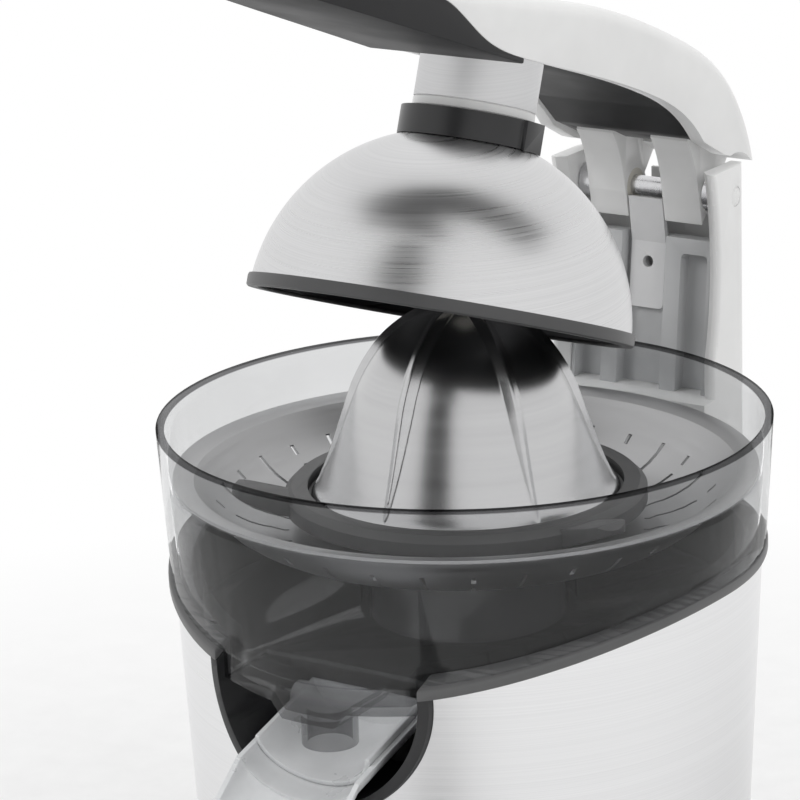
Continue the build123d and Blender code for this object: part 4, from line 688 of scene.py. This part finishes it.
INNER_FINISH = {
    "bright_steel": bright_zinc, "nylon": gear_nylon, "bearing_brass": bearing_brass,
    "motor_can": motor_plating, "rubber": foot_rubber, "black_plastic": collar_black,
    "dark_plastic": dark_moulding, "white_plastic": white_shell, "brushed_steel": sleeve_steel,
    "polished_steel": cone_steel, "strainer_steel": strainer_steel, "clear_plastic": bowl_clear,
    "frosted_grey": spout_frosted, "panel_grey": panel_satin,
}
for part in frame["record"]["subparts"]:
    node = frame["nodes"][part["node"]]
    node.data.materials.clear()
    node.data.materials.append(INNER_FINISH[part["material_slot"]])


# Floor, light and camera: places in metres, the camera's turns in degrees, its shift and lens in mm
FLOOR_R = 9.0
FADE_NEAR = 0.22
FADE_FAR = 0.55
LAMP_AIM = Vector((0, 0, 0.2))
CAMERA_AROUND = 33.5
CAMERA_DOWN = 16.83
CAMERA_ROLL = 1.77
CAMERA_SHIFT = Vector((19.30, -4.24, -1205.69))
CAMERA_LENS = 180.0
CAMERA_SENSOR = 36.0


def seen_rays(nodes, links):
    """One for rays from the camera, off gloss or through clear plastic, and zero for the rest."""
    path = nodes.new("ShaderNodeLightPath")
    first = nodes.new("ShaderNodeMath")
    first.operation = "MAXIMUM"
    links.new(path.outputs["Is Camera Ray"], first.inputs[0])
    links.new(path.outputs["Is Glossy Ray"], first.inputs[1])
    second = nodes.new("ShaderNodeMath")
    second.operation = "MAXIMUM"
    links.new(first.outputs[0], second.inputs[0])
    links.new(path.outputs["Is Transmission Ray"], second.inputs[1])
    return second.outputs[0]


def pale_floor():
    """Pale floor that keeps the shadow near the press and fades to white farther off."""
    deselect()
    bpy.ops.mesh.primitive_circle_add(vertices=96, radius=FLOOR_R, fill_type="NGON")
    floor = bpy.context.object
    floor.name = "floor"
    finish, nodes, links, shader = blank("floor_paper")
    coords = nodes.new("ShaderNodeTexCoord")
    distance = nodes.new("ShaderNodeVectorMath")
    distance.operation = "LENGTH"
    links.new(coords.outputs["Object"], distance.inputs[0])
    fade = nodes.new("ShaderNodeMapRange")
    fade.inputs["From Min"].default_value = FADE_NEAR
    fade.inputs["From Max"].default_value = FADE_FAR
    links.new(distance.outputs["Value"], fade.inputs["Value"])
    fibre = grain(nodes, links, 60.0, 4.0)
    links.new(tint(nodes, links, fibre, (0.80, 0.80, 0.80), (0.84, 0.84, 0.84)), shader.inputs["Base Color"])
    shader.inputs["Roughness"].default_value = 0.8
    glow = nodes.new("ShaderNodeEmission")
    glow.inputs["Strength"].default_value = 1.0
    share = nodes.new("ShaderNodeMath")
    share.operation = "MULTIPLY"
    links.new(seen_rays(nodes, links), share.inputs[0])
    links.new(fade.outputs["Result"], share.inputs[1])
    mix = nodes.new("ShaderNodeMixShader")
    links.new(share.outputs[0], mix.inputs["Fac"])
    links.new(shader.outputs["BSDF"], mix.inputs[1])
    links.new(glow.outputs["Emission"], mix.inputs[2])
    links.new(mix.outputs["Shader"], nodes["Material Output"].inputs["Surface"])
    floor.data.materials.append(finish)


def studio_light():
    """White surround for what the camera and the metal see, and a softer level for the rest."""
    world = bpy.data.worlds.new("studio")
    bpy.context.scene.world = world
    world.use_nodes = True
    nodes, links = world.node_tree.nodes, world.node_tree.links
    back = nodes["Background"]
    level = nodes.new("ShaderNodeMapRange")
    level.inputs["To Min"].default_value = 0.62
    level.inputs["To Max"].default_value = 1.0
    links.new(seen_rays(nodes, links), level.inputs["Value"])
    links.new(level.outputs["Result"], back.inputs["Strength"])
    back.inputs["Color"].default_value = (1, 1, 1, 1)
    lamps = [("key_lamp", (-1.1, -1.3, 1.5), 1.0, 16.0), ("side_lamp", (1.5, -0.4, 1.0), 0.8, 5.0),
             ("top_lamp", (0.1, 0.3, 1.9), 1.2, 9.0)]
    for name, place, size, power in lamps:
        lamp = bpy.data.lights.new(name, "AREA")
        lamp.size = size
        lamp.energy = power
        holder = bpy.data.objects.new(name, lamp)
        bpy.context.scene.collection.objects.link(holder)
        aim = LAMP_AIM - Vector(place)
        holder.rotation_euler = aim.to_track_quat("-Z", "Y").to_euler()
        holder.location = place
        holder.visible_glossy = False


def dark_gap(name, corners):
    """Dark gap between the soft boxes, seen in reflections only."""
    deselect()
    bpy.ops.mesh.primitive_plane_add(size=1)
    card = bpy.context.object
    card.name = name
    for vert, corner in zip(card.data.vertices, corners):
        vert.co = corner
    finish, nodes, links, shader = blank(name)
    shader.inputs["Base Color"].default_value = (0.01, 0.01, 0.01, 1)
    shader.inputs["Roughness"].default_value = 1.0
    card.data.materials.append(finish)
    card.visible_camera = False
    card.visible_diffuse = False
    card.visible_transmission = False
    card.visible_shadow = False


# Places of the gaps: distance from the dome in metres, turns in degrees, half widths
GAP_AWAY = 0.9
FRONT_TURN = -84
FRONT_HALF = 12.0
FRONT_RISES = [(8, 34), (34, 60), (60, 82)]
TOP_TURN = 28
TOP_HALF = 0.16
TOP_RISES = (38, 62, 90, 122)
LOW_TURN = -70
LOW_FOOT = Vector((0.039, -0.079, 0.001))
LOW_ENDS = [(0.10, -0.02, 0.012), (0.32, -0.05, 0.03)]


def level_way(turn):
    """Level direction by its turn in degrees, and the one to its left."""
    way = Vector((math.cos(math.radians(turn)), math.sin(math.radians(turn)), 0))
    return way, Vector((-way.y, way.x, 0))


def aim_point(turn, rise, distance):
    """Point at a distance from the dome, by turn and rise in degrees."""
    turn, rise = math.radians(turn), math.radians(rise)
    flat = math.cos(rise) * distance
    return RAISED_DOME + Vector((flat * math.cos(turn), flat * math.sin(turn), math.sin(rise) * distance))


def dark_gaps():
    """Upright gap in front on the left, strip over the top, and a low strip before the sleeve."""
    for i, (low, high) in enumerate(FRONT_RISES):
        half = FRONT_HALF / math.cos(math.radians((low + high) / 2))
        left, right = FRONT_TURN - half, FRONT_TURN + half
        dark_gap(f"front_gap_{i}", [aim_point(left, low, GAP_AWAY), aim_point(right, low, GAP_AWAY),
                                    aim_point(left, high, GAP_AWAY), aim_point(right, high, GAP_AWAY)])
    aside = level_way(TOP_TURN)[1] * TOP_HALF
    over = [aim_point(TOP_TURN, rise, GAP_AWAY) for rise in TOP_RISES]
    for i in range(len(over) - 1):
        a, b = over[i], over[i + 1]
        dark_gap(f"top_gap_{i}", [a - aside, a + aside, b - aside, b + aside])
    ahead, beside = level_way(LOW_TURN)
    corners = []
    for reach, left, right in LOW_ENDS:
        corners += [LOW_FOOT + ahead * reach + beside * left, LOW_FOOT + ahead * reach + beside * right]
    dark_gap("floor_gap", corners)


def photo_camera():
    """Camera at the photograph's place, turn and lens."""
    around, down = math.radians(CAMERA_AROUND), math.radians(CAMERA_DOWN)
    right = Vector((math.cos(around), math.sin(around), 0))
    up = Vector((-math.sin(around) * math.sin(down), math.cos(around) * math.sin(down), math.cos(down)))
    back = Vector((math.sin(around) * math.cos(down), -math.cos(around) * math.cos(down), math.sin(down)))
    turn = Matrix.Rotation(math.radians(CAMERA_ROLL), 3, "Z") @ Matrix((right, up, back))
    place = turn.transposed() @ (-CAMERA_SHIFT) + Vector((0, 0, RIM_Z))
    lens = bpy.data.cameras.new("photo_camera")
    lens.sensor_width = CAMERA_SENSOR
    lens.lens = CAMERA_LENS
    lens.clip_start = 0.05
    lens.clip_end = 50.0
    holder = bpy.data.objects.new("photo_camera", lens)
    bpy.context.scene.collection.objects.link(holder)
    holder.matrix_world = Matrix.Translation(place * MM) @ turn.transposed().to_4x4()
    bpy.context.scene.camera = holder


pale_floor()
studio_light()
dark_gaps()
photo_camera()
bpy.context.scene.view_settings.view_transform = "Standard"
